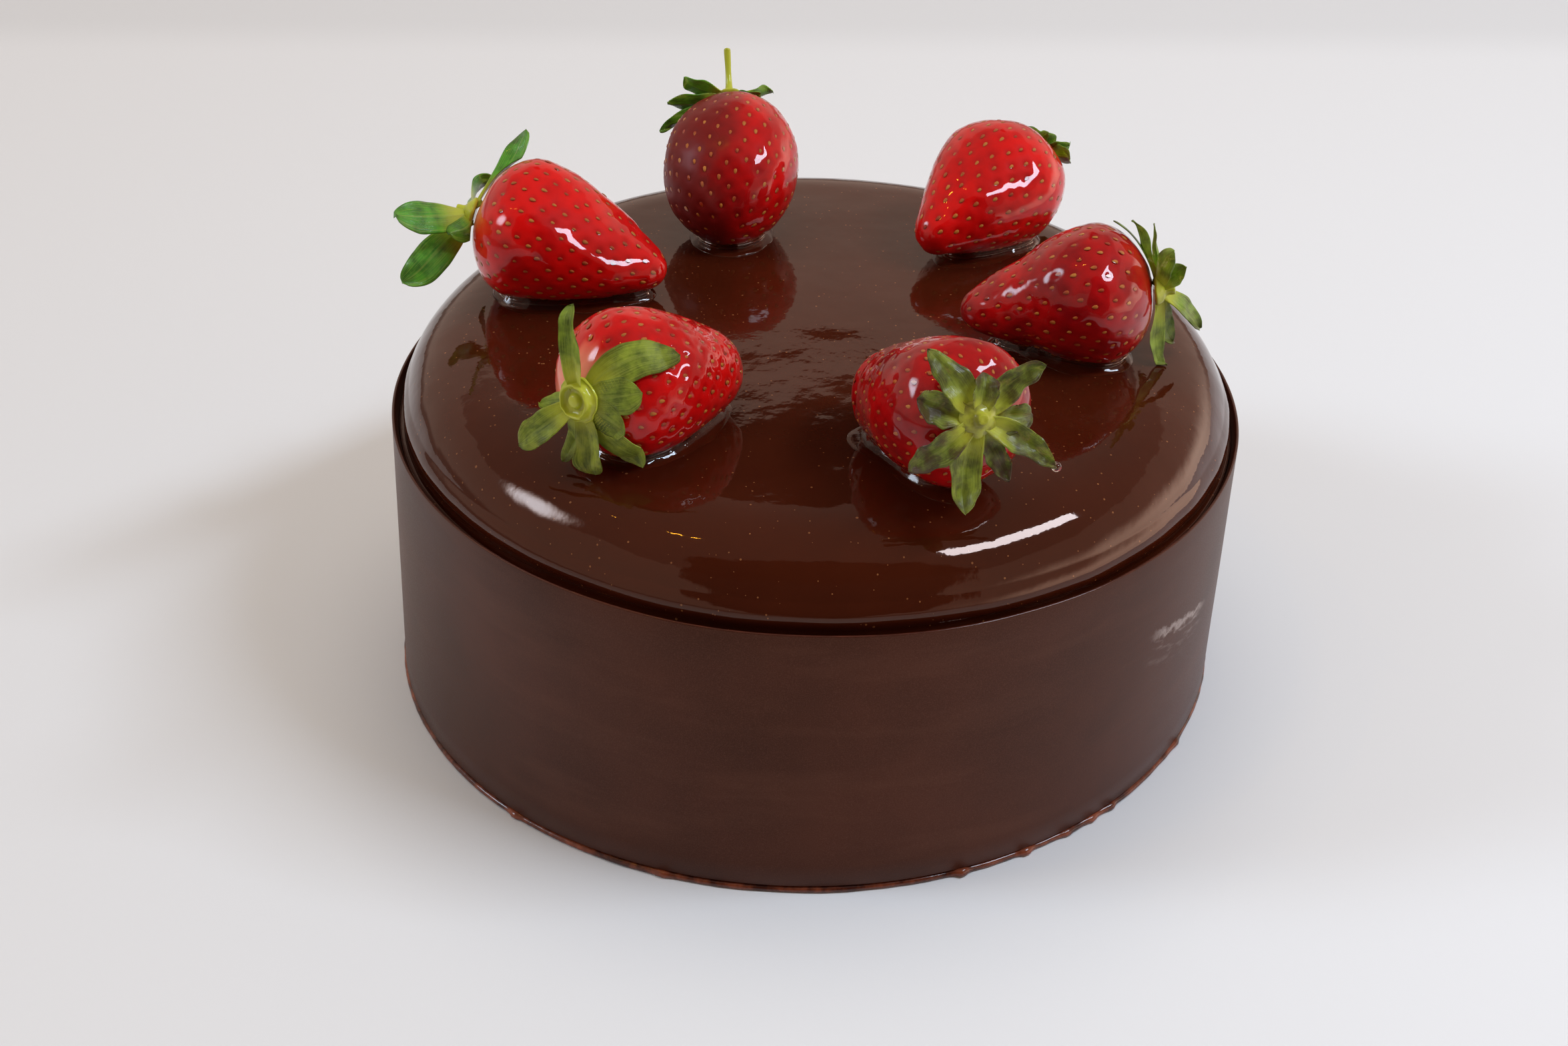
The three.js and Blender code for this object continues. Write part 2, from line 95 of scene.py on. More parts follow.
# how far in and down the points of its broken upper edge lie
BAND_RIM = ((0.45, 0.02), (0.62, 0.18), (0.8, 0.7))
BEAD_RADIUS = 89.3
BEAD_STEPS = 14
BEAD_ROUND_STEPS = 540
BEAD_BACK = 87.6
BEAD_START = 88.2  # nearer the axis than this the bead stays as it was spun
BEAD_LOW = 0.02
BLOB_WIDE = 0.8  # degrees
# direction in degrees and size of each blob that the bead has run out in
BLOBS = (
    (-69.1, 1.1), (-59.7, 0.9), (-53, 0.5), (-48.5, 0.6), (-44.8, 0.7), (-108, 0.5),
    (-131, 0.6), (-28, 0.5),
)

FRUIT_TALL = 0.96
FRUIT_SINK = 1.2
LUMP_BROAD = 0.018
LUMP_FINE = 0.012
WAIST_ALONG = 0.66
WAIST_LONG = 0.13
TIP_BLEND = 6
SHOULDER_SPARE = 1.03
FOLD_WIDE = 1.6

LEAF_THICKNESS = 0.6  # clearance that the solids keep
LEAF_BLADE = 0.32  # and the blade's own thickness
LEAF_ROOT = 1
LEAF_NECK = 0.45
LEAF_TAPER = 2.2
LEAF_RIPPLE = 0.1
LEAF_WAVES = 7
LEAF_EDGE_WAVE = 0.06
LEAF_MIDRIB = 0.14
LEAF_HELD = 0.1
LEAF_NARROW = 4  # narrower leaves than this have dried, spread flat and turned on edge
LEAF_SPREAD = 1.35
LEAF_TURNED = 40
SPINE_STEPS = 12
HUB_HEIGHT = 1.9
HUB_CLEAR = GAP + 0.25
STALK_RADIUS = 1.1
STALK_BEND = 0.04
HUB_TOP = 0.7 * HUB_HEIGHT
# radius and height of points that the outline of a crown's top and stalk runs through
STALKS = {
    "cup": [
        (4.2, 0.55 * HUB_TOP), (3.75, 0.8 * HUB_TOP), (3.55, HUB_TOP + 0.2),
        (3.5, HUB_TOP + 0.8), (3.35, HUB_TOP + 1.15), (3.05, HUB_TOP + 1.2),
        (2.85, HUB_TOP + 0.8), (2.6, HUB_TOP + 0.35), (2.0, HUB_TOP + 0.1),
        (1.6, HUB_TOP + 0.2), (1.3, HUB_TOP + 0.8), (0.9, HUB_TOP + 1.1), (0, HUB_TOP + 1.2),
    ],
    "stub": [
        (2.2, HUB_TOP + 0.4), (1.4, HUB_TOP + 0.8), (STALK_RADIUS, HUB_TOP + 1.4),
        (STALK_RADIUS * 0.9, HUB_TOP + 2.5), (STALK_RADIUS * 0.7, HUB_TOP + 2.75),
        (0, HUB_TOP + 2.7),
    ],
    "long": [
        (1.8, HUB_TOP + 0.4), (1.1, HUB_TOP + 0.9), (STALK_RADIUS * 0.75, HUB_TOP + 1.6),
        (STALK_RADIUS * 0.6, HUB_TOP + 5), (STALK_RADIUS * 0.7, HUB_TOP + 8.9),
        (STALK_RADIUS * 0.5, HUB_TOP + 9.15), (0, HUB_TOP + 9.2),
    ],
}
DROP_LEAF = (6, 4)  # the strawberry and the leaf with a drop at its tip
DROP_RADIUS = 0.95

FILM_RISE = 1.9  # how high the nappage climbs at a strawberry's foot
FOOT_STEPS = 120
POOL_UNDER = 0.8  # how far a pool reaches in under the flesh
POOL_STEPS = 16
POOL_RING = 10  # radius of the ring that a pool is bent from
WINDOW_FACE = Vector((0.347, -0.602, 0.719))  # midway between the window and the viewer

SEED_SPACING = 3.75  # between seeds on the flesh
SEED_LENGTH = 1.35
SEED_WIDTH = 0.78
SEED_THICK = 0.42
SEED_POINTED = 0.35  # share by which its end narrows
SEED_SUNK = 0.22
SEED_CLEAR = 0.4  # seeds lower than this over the glaze are under it
DIMPLE_RADIUS = 0.95
DIMPLE_DEPTH = 0.3

# Each strawberry as in the solids: place, heading from calyx to tip and dip in degrees,
# length and width, its outline, the calyx's turn and radius. Then shares from 0 to 1: pale is
# how far the white of the shoulder reaches, deep how dark its red is, dull how strongly its
# left side is darkened to a brownish red as painted shade, with a duller coat there, coat how
# wavy its nappage; for its leaves, blunt the power of their tips, wet, fresh and dried; skin is
# how far the nappage follows the hollows. pools holds direction, reach and spread of the
# nappage that has run out at its foot, glints the places along and round it, and their width,
# where the nappage has set flat towards the window, crease the place and depth of a fold across
# its upper side, and rumple how much the nappage has ridged there.
# sweeps holds by how many degrees a leaf curves sideways. Each leaf: turn, length, width,
# flare, bend, twist and where it is widest. PLAIN is what most strawberries share.
PLAIN = dict(
    waist=0, hub=3.2, stalk="stub", pale=0.0, dull_and_shaded=0.0, coat=0.25, wet=0.5, sweeps={}, glints=(),
    skin=0.1, crease=(0.5, 0), rumple=0.0,
)
STRAWBERRIES = (
    dict(
        PLAIN, x=-29, y=-43, heading=41, dip=13, length=40, width=30, widest=0.28, nose=1.8,
        taper=1.7, tip=7, waist=0.02, crown=(-12, -2), hub=4.6, stalk="cup", pale=0.075,
        deep=0.25, coat=0.6, blunt=0.5, wet=0.15, fresh=0.15, dried=0.25, skin=0.8, rumple=0.7,
        sweeps={0: -24, 1: 48, 3: 20, 4: -15, 5: 15},
        pools=((-10, 2.2, 50), (-100, 0.8, 40)), glints=((0.31, 148, 11),),
        leaves=(
            (77, 15, 5, 0, -30, 0, 0.4), (131, 17.3, 6.4, -30, 20, 0, 0.6),
            (157, 7.7, 6, -26, 25, 0, 0.55), (-164, 8.1, 6, -5, 120, 0, 0.5),
            (-141, 13.8, 5, -22, 30, 0, 0.6), (-110, 10.9, 6.6, -2, 30, 0, 0.7),
            (-78, 12.1, 4.2, -5, 90, 0, 0.5), (-52, 11.4, 5.6, 20, -20, 0, 0.6),
            (-25, 5.4, 3.2, 0, 40, 0, 0.5),
        ),
    ),
    dict(
        PLAIN, x=-50, y=14, heading=-7, dip=17, length=42, width=31, widest=0.26, nose=1.5,
        taper=1.4, tip=5, crown=(0, -3), pale=0.02, deep=0.1, blunt=0.55, wet=0.9, fresh=0.95,
        dried=0.0, sweeps={0: 8, 1: -10, 2: 12}, pools=((-60, 1.8, 35),),
        glints=((0.71, 153, 11),),
        leaves=(
            (-140, 18.4, 7.4, 25, 0, 75, 0.6), (170, 17, 7.4, 43, 0, 50, 0.6),
            (42, 19, 5.4, -16, 25, 55, 0.72), (-174, 7, 5, 22, 110, 60, 0.5),
            (5, 12, 5.2, 0, -30, 0, 0.5), (-35, 12, 5.6, 12, 25, 0, 0.5),
        ),
    ),
    dict(
        PLAIN, x=-17, y=46, heading=-95, dip=25, length=37, width=30, widest=0.5, nose=2.1,
        taper=1.7, tip=9, crown=(-7, 2), stalk="long", deep=0.3, dull_and_shaded=0.9, blunt=0.7,
        fresh=0.75, dried=0.1, pools=((-80, 1.4, 50),),
        leaves=(
            (149, 8.9, 5, 5, 20, 0, 0.6), (170, 11.2, 5.2, -10, 30, 0, 0.6),
            (-172, 14.4, 4.2, -20, 20, 0, 0.6), (24, 5, 4.2, -12, 30, 0, 0.5),
            (-130, 12, 5.2, 0, -30, 0, 0.5), (-85, 11, 5.2, 10, -20, 0, 0.5),
            (-28, 9, 4.8, 28, 20, 0, 0.5),
        ),
    ),
    dict(
        PLAIN, x=38.3, y=40.4, heading=-132, dip=10, length=40, width=30, widest=0.34,
        nose=1.35, taper=1.35, tip=5, crown=(0, 0), deep=0.15, blunt=0.75, wet=0.4, fresh=0.6,
        dried=0.3, pools=((-110, 3.6, 45),), glints=((0.51, 36, 9),),
        leaves=(
            (64, 3.4, 3.6, 2, 10, 0, 0.5), (95, 5, 3.4, -22, 20, 0, 0.5),
            (18, 8.3, 4.6, -10, 20, 0, 0.6), (26, 5.1, 3.6, 12, 30, 0, 0.5),
            (-92, 10, 5.2, 10, -20, 0, 0.5), (-122, 11, 5.2, 10, -30, 0, 0.5),
            (-165, 9, 5.2, 5, 30, 0, 0.5),
        ),
    ),
    dict(
        PLAIN, x=51.6, y=-6, heading=176, dip=12, length=39.8, width=30, widest=0.28, nose=1.5,
        taper=1.4, tip=4.5, waist=0.07, crown=(4, -4), deep=0.75, coat=0.45, blunt=0.7,
        fresh=0.35, dried=0.45, skin=0.3, rumple=0.3, sweeps={0: -20, 1: 15, 5: 15, 7: -15},
        pools=((-85, 2.2, 35),), glints=((0.18, 39, 7),),
        leaves=(
            (115, 13, 3.2, -40, 10, 0, 0.45), (110, 12.5, 2.8, -12, 30, 0, 0.45),
            (130, 11, 4.4, 0, 40, 0, 0.55), (75, 9, 3.6, 20, 50, 0, 0.5),
            (79, 5.7, 3, 50, 10, 0, 0.5), (-113, 11.7, 5.8, 32, -20, 0, 0.7),
            (-100, 11, 3.6, 6, 10, 0, 0.5), (-80, 15, 3.4, -4, 20, 0, 0.4),
            (-160, 11, 4.8, 0, 20, 0, 0.5),
        ),
    ),
    dict(
        PLAIN, x=24.8, y=-53.7, heading=119, dip=20, length=43.2, width=29.4, widest=0.32,
        nose=2.3, taper=2, tip=8, waist=0.06, crown=(12, 6), hub=3.6, deep=0.72, coat=0.5,
        blunt=0.75, fresh=0.12, dried=1.0, skin=0.2, crease=(0.8, 1.1), rumple=0.5,
        sweeps={0: -18, 2: 22, 3: -15, 4: 25, 6: -22, 7: 12, 8: 20},
        pools=((172, 4.0, 35), (-50, 3.6, 35), (-100, 1.8, 40)), glints=((0.1, 108, 8),),
        leaves=(
            (68, 12.8, 6, -8, -20, 0, 0.28), (110, 5.6, 5, -5, -70, 0, 0.5),
            (149, 13.7, 5.2, 8, 50, 0, 0.32), (-166, 8.3, 5.2, -12, 20, 0, 0.68),
            (-139, 14, 5, 5, 20, 0, 0.36), (-107, 10.5, 4.4, -8, 40, 0, 0.5),
            (-67, 14.7, 6, -5, 30, 0, 0.5), (-26, 12.6, 5.4, -12, -40, 0, 0.6),
            (28, 9.1, 6.2, -8, 30, 0, 0.6),
        ),
    ),
)

# Lamps: azimuth clockwise from the back and elevation in degrees, distance, size and power in
# metres and watts, the direction that the long side points at, colour, whether mirrors show it.
BULB = (2.2, (0.05, 0.05), 0.5)
LAMPS = (
    ("key_strip", (105, 51), 1.1, (0.56, 0.16), 7.4, (133, 55), "deecff", True),
    ("overhead", (10, 78), 1.6, (1.2, 1.0), 6.9, (90, 78), "fff8f0", False),
    ("bulb_a", (-85, 61), *BULB, (-65, 61), "ffc23a", True),
    ("bulb_b", (-103, 69), *BULB, (-83, 69), "ffc23a", True),
    ("bulb_c", (-110, 72), *BULB, (-90, 72), "ffc23a", True),
)
LAMPS_AIM = Vector((0, 0, 0.075))  # in metres, about the top of the glaze


def linear(code):
    """An sRGB hex colour as linear red, green, blue and a full alpha."""
    channels = [int(code[i : i + 2], 16) / 255 for i in (0, 2, 4)]
    return [c / 12.92 if c <= 0.04045 else ((c + 0.055) / 1.055) ** 2.4 for c in channels] + [1]


def smooth_step(low, high, value):
    """0 below low, 1 above high, and an even slope between."""
    share = min(1, max(0, (value - low) / (high - low)))
    return share * share * (3 - 2 * share)


def bell(value):
    """1 at 0, falling off smoothly to nothing on both sides."""
    return math.exp(-(value**2))


# ---------------------------------------------------------------- settings

def length_setting(name, about, metres):
    return bpy.props.FloatProperty(
        name=name, description=about, default=metres, subtype="DISTANCE", unit="LENGTH")


def colour_setting(name, about, code):
    return bpy.props.FloatVectorProperty(
        name=name, description=about, default=linear(code), subtype="COLOR", size=4, min=0, max=1)


class CakeSizes(bpy.types.PropertyGroup):
    """Sizes of the cake and its band"""

    band_radius: length_setting("Band radius", "Outside of the chocolate band", 0.090)
    band_height: length_setting("Band height", "Upper edge of the band above the base", 0.0613)
    band_wall: length_setting("Band wall", "Thickness of the band's chocolate", 0.0015)
    glaze_wave: length_setting("Glaze wave", "Height of the slow waves in the glaze", 0.00028)


class CakeColours(bpy.types.PropertyGroup):
    """Colours of the cake, as linear light"""

    glaze: colour_setting("Glaze", "Dark chocolate mirror glaze", "3b1508")
    band: colour_setting("Band", "Tempered dark chocolate of the band", "31150d")
    flesh: colour_setting("Flesh", "Bright red of a ripe strawberry", "d40a08")
    flesh_deep: colour_setting("Deep flesh", "Dark red of a very ripe strawberry", "80040a")
    seed: colour_setting("Seed", "Yellow of the seeds", "b4702a")
    leaf: colour_setting("Leaf", "Green of the calyx", "929a2e")


# ---------------------------------------------------------------- form of the cake

def polar(point):
    """Angle and radius of a point about the cake's axis."""
    return math.atan2(point.y, point.x), math.hypot(point.x, point.y)


def on_ring(angle, radius, height=0):
    """The point at an angle and radius about the axis."""
    return Vector((math.cos(angle) * radius, math.sin(angle) * radius, height))


def degrees_off(angle, where):
    """How many degrees an angle lies from a direction, the short way round."""
    return (math.degrees(angle) - where + 180) % 360 - 180


def widen(point, factor):
    """Moves a point out from the axis."""
    point.x *= factor
    point.y *= factor


def dome_height(radius):
    """Height of the glazed top at a radius, before the lean."""
    out = min(1, max(0, (radius - FLAT_RADIUS) / SHOULDER_REACH))
    shoulder = (1 - out**SHOULDER_POWER) ** (1 / SHOULDER_POWER)
    return SHOULDER_START + SHOULDER_RISE * shoulder + CROWN * (1 - (radius / GLAZE_RADIUS) ** 2)


def glaze_height(x, y):
    """Height of the glaze over a plan point of the finished cake."""
    own = x - LEAN
    return dome_height(math.hypot(own, y)) + SLOPE_RIGHT * own + SLOPE_BACK * y


def lean(point, height):
    """The cake leans to the right and its top slopes."""
    share = min(1, point.z / height)
    slope = SLOPE_RIGHT * point.x + SLOPE_BACK * point.y
    return Vector((point.x + LEAN * share, point.y, point.z + slope * share))


def spline(points, steps):
    """A smooth line through the points, with this many steps between each pair."""
    ends = [points[0], *points, points[-1]]
    line = []
    for i in range(len(points) - 1):
        a, b, c, d = (Vector(p) for p in ends[i : i + 4])
        for j in range(steps):
            t = j / steps
            line.append(
                0.5 * ((2 * b) + (c - a) * t + (2 * a - 5 * b + 4 * c - d) * t * t
                       + (3 * b - a - 3 * c + d) * t**3)
            )
    line.append(Vector(points[-1]))
    return [tuple(p) for p in line]


# ---------------------------------------------------------------- form of a strawberry

def girth(fruit, along):
    """Share of the full width at a share of the length from calyx to tip."""
    if along < fruit["widest"]:
        return math.sqrt(max(0, 1 - (1 - along / fruit["widest"]) ** 2))
    past = min(1, (along - fruit["widest"]) / (1 - fruit["widest"]))
    cone = max(0, 1 - past ** fruit["nose"]) ** (1 / fruit["taper"])
    pinched = max(0, cone - fruit["waist"] * bell((along - WAIST_ALONG) / WAIST_LONG))
    from_tip = (1 - along) * fruit["length"] / fruit["tip"]
    ball = math.sqrt(max(0, 1 - (1 - from_tip) ** 2))
    cap = ball * fruit["tip"] / (fruit["width"] / 2)
    return (pinched**TIP_BLEND + cap**TIP_BLEND) ** (1 / TIP_BLEND)


def flesh_point(fruit, along, turn):
    """A point of the flesh in the fruit's frame: X from calyx to tip, Y left, Z up."""
    broad = LUMP_BROAD * math.sin(3 * turn + fruit["heading"])
    fine = LUMP_FINE * math.sin(5 * turn + 4 * along)
    radius = fruit["width"] / 2 * girth(fruit, along) * (1 + broad + fine)
    return Vector((
        fruit["length"] * along, radius * math.cos(turn), radius * math.sin(turn) * FRUIT_TALL,
    ))


def flesh_axes(fruit, along, turn):
    """Outward normal and the direction towards the tip at a point of the flesh."""
    step = 0.01
    near, far = max(0.001, along - step), min(0.999, along + step)
    ahead = flesh_point(fruit, far, turn) - flesh_point(fruit, near, turn)
    around = flesh_point(fruit, along, turn + step) - flesh_point(fruit, along, turn - step)
    return around.cross(ahead).normalized(), ahead.normalized()


def fruit_placement(fruit):
    """The fruit's frame on the cake, its belly sunk a little in the glaze."""
    heading, dip = math.radians(fruit["heading"]), math.radians(fruit["dip"])
    axis = Vector((
        math.cos(heading) * math.cos(dip), math.sin(heading) * math.cos(dip), -math.sin(dip),
    ))
    left = Vector((-math.sin(heading), math.cos(heading), 0))
    placement = Matrix((axis, left, axis.cross(left))).transposed().to_4x4()
    placement.translation = Vector((fruit["x"], fruit["y"], 0)) - Vector(
        (axis.x, axis.y, 0)
    ) * fruit["length"] / 2
    lift = -1e9
    for i in range(1, 24):
        for j in range(36):
            point = placement @ flesh_point(fruit, i / 24, j / 36 * TURN)
            lift = max(lift, glaze_height(point.x, point.y) - point.z)
    placement.translation.z = lift - FRUIT_SINK
    return placement


def foot_outline(fruit, placement):
    """Plan centre of a strawberry's foot, and in each direction how far out its flesh still
    lies within reach of the nappage."""
    low = []
    for i in range(3, 118):
        for j in range(144):
            turn = j / 144 * TURN
            if math.sin(turn) < 0.3:
                point = placement @ flesh_point(fruit, i / 120, turn)
                if point.z - glaze_height(point.x, point.y) < FILM_RISE:
                    low.append(point)
    centre = sum(low, Vector()) / len(low)
    outline = [0.0] * FOOT_STEPS
    for point in low:
        angle, radius = polar(point - centre)
        step = round(angle / TURN * FOOT_STEPS) % FOOT_STEPS
        outline[step] = max(outline[step], radius)
    for i in range(FOOT_STEPS):
        if not outline[i]:
            outline[i] = outline[i - 1]
    calm = [sum(outline[(i + j) % FOOT_STEPS] for j in range(-3, 4)) / 7
            for i in range(FOOT_STEPS)]
    return centre, calm


def film_glints(fruit, placement):
    """Where the nappage has set flat, how far it tilts there, and how wide it is."""
    face = placement.to_3x3().transposed() @ WINDOW_FACE
    glints = []
    for along, turn, wide in fruit["glints"]:
        around = math.radians(turn)
        tilt = face - flesh_axes(fruit, along, around)[0]
        glints.append((flesh_point(fruit, along, around), tilt, wide))
    return glints


def film_normal(fruit, glints, point, out):
    """Which way the nappage over the flesh faces: smoother than the skin, but with waves
    6 mm long, wrinkles of 2 mm and, where it has rumpled, ridges."""
    high = smooth_step(0.1, 0.9, out.z) * fruit["coat"]
    wave = noise.noise_vector(point / 6.5) * (0.06 + 0.25 * high)
    wrinkle = noise.noise_vector(point / 2.1 + Vector((9, 9, 9))) * (0.05 + 0.1 * high)
    ridge = noise.noise(point / 2.6 + Vector((3, 0, 8)))
    rumpled = high * smooth_step(0.35, 0.6, point.x / fruit["length"]) * fruit["rumple"]
    crest = Vector((0.8, 0.6 * math.copysign(1, ridge), 0.4)) * (rumpled * (1 - 4 * abs(ridge)))
    normal = out + wave + wrinkle + crest * 0.5
    for spot, tilt, wide in glints:
        normal += tilt * bell((point - spot).length / wide)
    return normal.normalized()


def seed_places(fruit):
    """Along, turn and size of each seed: evenly spread over the flesh by the golden turn."""
    rings = 200
    areas = [0.0]
    for i in range(rings):
        along = (i + 0.5) / rings
        slice_width = fruit["length"] / rings
        rise = (girth(fruit, (i + 1) / rings) - girth(fruit, i / rings)) * fruit["width"] / 2
        areas.append(areas[-1] + TURN * girth(fruit, along) * fruit["width"] / 2
                     * math.hypot(slice_width, rise))
    count = int(areas[-1] / (SEED_SPACING**2 * 0.87))
    draw = random.Random(int(fruit["heading"]) + 500)
    golden = math.pi * (3 - math.sqrt(5))
    places = []
    ring = 0
    for i in range(count):
        share = (i + 0.5) / count * areas[-1]
        while areas[ring + 1] < share:
            ring += 1
        along = (ring + (share - areas[ring]) / (areas[ring + 1] - areas[ring])) / rings
        if 0.07 < along < 0.985:
            turn = i * golden + draw.uniform(-0.04, 0.04)
            places.append((along + draw.uniform(-0.004, 0.004), turn, draw.uniform(0.82, 1.12)))
    return places


# ---------------------------------------------------------------- form of a leaf

def crown_turn(fruit):
    """Turns the calyx off the fruit's axis, about the middle of its widest place."""
    left, up = (math.radians(angle) for angle in fruit["crown"])
    centre = Vector((fruit["widest"] * fruit["length"], 0, 0))
    turn = Matrix.Rotation(up, 4, "Y") @ Matrix.Rotation(-left, 4, "Z")
    return Matrix.Translation(centre) @ turn @ Matrix.Translation(-centre)


def clear_of_flesh(fruit, point, clear):
    """Keeps a leaf's point off the shoulder of the flesh."""
    centre = fruit["widest"] * fruit["length"]
    wide = fruit["width"] / 2 * SHOULDER_SPARE + clear
    behind = min(0, point.x - centre)
    level = math.hypot(behind / (centre + clear), math.hypot(point.y, point.z) / wide)
    if level >= 1:
        return point
    ahead = max(0, point.x - centre)
    return Vector((centre + ahead + behind / level, point.y / level, point.z / level))


def leaf_outline(width, belly, along, neck, blunt):
    """Half the width of a leaf at a share of its length."""
    if along < belly:
        swelling = math.sin(math.pi / 2 * along / belly)
        return width / 2 * (neck + (1 - neck) * swelling)
    past = (along - belly) / (1 - belly)
    return width / 2 * max(0, 1 - past**LEAF_TAPER) ** blunt


# ---------------------------------------------------------------- helpers for pieces

def put_piece(name, bm, material, nodes=()):
    """Turns a millimetre bmesh into a smooth piece that rides on the cake."""
    bmesh.ops.scale(bm, vec=(MM, MM, MM), verts=bm.verts)
    for face in bm.faces:
        face.smooth = True
    mesh = bpy.data.meshes.new(name)
    bm.to_mesh(mesh)
    bm.free()
    mesh.materials.append(material)
    piece = bpy.data.objects.new(name, mesh)
    bpy.context.scene.collection.objects.link(piece)
    if nodes:
        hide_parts(*nodes)
    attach(piece, "root")
    return piece


def turned(bm, profile, steps):
    """Spins a profile of radius and height about +Z into a closed skin."""
    line = [bm.verts.new((radius, 0, height)) for radius, height in profile]
    edges = [bm.edges.new(pair) for pair in zip(line, line[1:])]
    bmesh.ops.spin(
        bm, geom=line + edges, axis=(0, 0, 1), cent=(0, 0, 0), dvec=(0, 0, 0),
        angle=TURN, steps=steps, use_merge=True, use_duplicate=False,
    )
    bmesh.ops.remove_doubles(bm, verts=bm.verts, dist=1e-4)
    bmesh.ops.recalc_face_normals(bm, faces=bm.faces)


# ---------------------------------------------------------------- helpers for materials

class Nodes:
    """A node tree in the making, with short ways to add what repeats in it."""

    def __init__(self, tree):
        tree.nodes.clear()
        self.tree = tree

    def add(self, kind, inputs, **settings):
        """Adds a node, with its settings, and its inputs as values or links."""
        made = self.tree.nodes.new("ShaderNode" + kind)
        for key, value in settings.items():
            setattr(made, key, value)
        for key, value in inputs.items():
            if isinstance(value, bpy.types.NodeSocket):
                self.tree.links.new(value, made.inputs[key])
            else:
                made.inputs[key].default_value = value
        return made

    def place(self):
        """Where a point lies on the piece, in metres."""
        return self.add("TexCoord", {}).outputs["Object"]

    def apart(self, vector):
        """The X, Y and Z of a vector."""
        return tuple(self.add("SeparateXYZ", {"Vector": vector}).outputs)

    def attribute(self, name, output="Fac"):
        return self.add("Attribute", {}, attribute_name=name).outputs[output]

    def mapping(self, vector, kind="POINT", **inputs):
        return self.add("Mapping", {"Vector": vector, **inputs}, vector_type=kind).outputs[0]

    def noise(self, place, size, detail, rough=0.5, unit=MM):
        """Clouds about as wide as a size, which is in millimetres on a piece."""
        return self.add("TexNoise", {
            "Vector": place, "Scale": 1 / (size * unit), "Detail": detail, "Roughness": rough,
        }).outputs["Fac"]

    def maths(self, operation, *terms, clamp=False):
        inputs = dict(enumerate(terms))
        return self.add("Math", inputs, operation=operation, use_clamp=clamp).outputs["Value"]

    def ramp(self, value, low, high, start=0.0, end=1.0, soft=False):
        """Runs from start to end while a value goes from low to high."""
        return self.add("MapRange", {
            "Value": value, "From Min": low, "From Max": high, "To Min": start, "To Max": end,
        }, interpolation_type="SMOOTHSTEP" if soft else "LINEAR").outputs["Result"]

    def mix(self, share, first, second):
        """From the first colour to the second, each an sRGB hex, linear light or a link."""
        first, second = (linear(c) if isinstance(c, str) else c for c in (first, second))
        return self.add("Mix", {0: share, 6: first, 7: second}, data_type="RGBA").outputs[2]

    def dots(self, place, size, channel, widest):
        """1 inside round dots in cells of a size in millimetres, most cells holding one;
        widest is the largest dot's radius as a share of its cell."""
        cells = self.add("TexVoronoi", {"Vector": place, "Scale": 1 / (size * MM)})
        tone = self.add("SeparateColor", {"Color": cells.outputs["Color"]}).outputs[channel]
        radius = self.ramp(tone, 0.35, 1.0, 0.0, widest)
        return self.maths("LESS_THAN", cells.outputs["Distance"], radius)

    def bump(self, height, strength, depth, under=None, inward=False):
        """Relief of a depth in millimetres, laid over other relief."""
        inputs = {"Strength": strength, "Distance": depth * MM, "Height": height}
        if under is not None:
            inputs["Normal"] = under
        return self.add("Bump", inputs, invert=inward).outputs["Normal"]

    def towards(self, way, direction):
        """1 where a direction is this one, less the further off it is."""
        inputs = {0: way, 1: Vector(direction).normalized()}
        return self.add("VectorMath", inputs, operation="DOT_PRODUCT").outputs["Value"]

    def surface(self, inputs):
        """Ends a material in its shader."""
        shader = self.add("BsdfPrincipled", inputs)
        self.add("OutputMaterial", {"Surface": shader.outputs["BSDF"]})


def new_material(name):
    """An empty node material and its nodes."""
    made = bpy.data.materials.new(name)
    made.use_nodes = True
    return made, Nodes(made.node_tree)


# ---------------------------------------------------------------- materials

def glaze_material(colours):
    """Mirror glaze: cocoa and gelatine, poured. A dark syrupy skin as smooth as glass, with
    pin-sized bubbles that show lighter, the larger ones pits."""
    made, nodes = new_material("mirror_glaze")
    place = nodes.place()
    cloud = nodes.noise(place, 22, 3.0, 0.55)
    lighter = [min(1, c * 1.35) for c in colours.glaze[:3]] + [1]
    base = nodes.mix(nodes.ramp(cloud, 0.35, 0.7, 0.0, 0.6), list(colours.glaze), lighter)
    # bubbles up to 0.6 mm across in cells of 3.4 mm, specks up to 0.4 mm in cells of 1.5 mm
    bubble = nodes.dots(place, 3.4, "Red", 0.085)
    speck = nodes.dots(place, 1.5, "Green", 0.15)
    spots = nodes.maths("MULTIPLY", nodes.maths("MAXIMUM", bubble, speck), 0.75)
    wave = nodes.bump(nodes.noise(place, 9, 4.0, 0.45), 0.16, 1.0)
    nodes.surface({
        "Base Color": nodes.mix(spots, base, "8d5a36"), "Roughness": 0.045, "IOR": 1.48,
        "Normal": nodes.bump(bubble, 0.5, 0.2, wave, inward=True),
        "Specular Tint": linear("ffe1d1"),
        "Subsurface Weight": 0.12, "Subsurface Radius": (1.0, 0.35, 0.18),
        "Subsurface Scale": 1.2 * MM,
    })
    return made


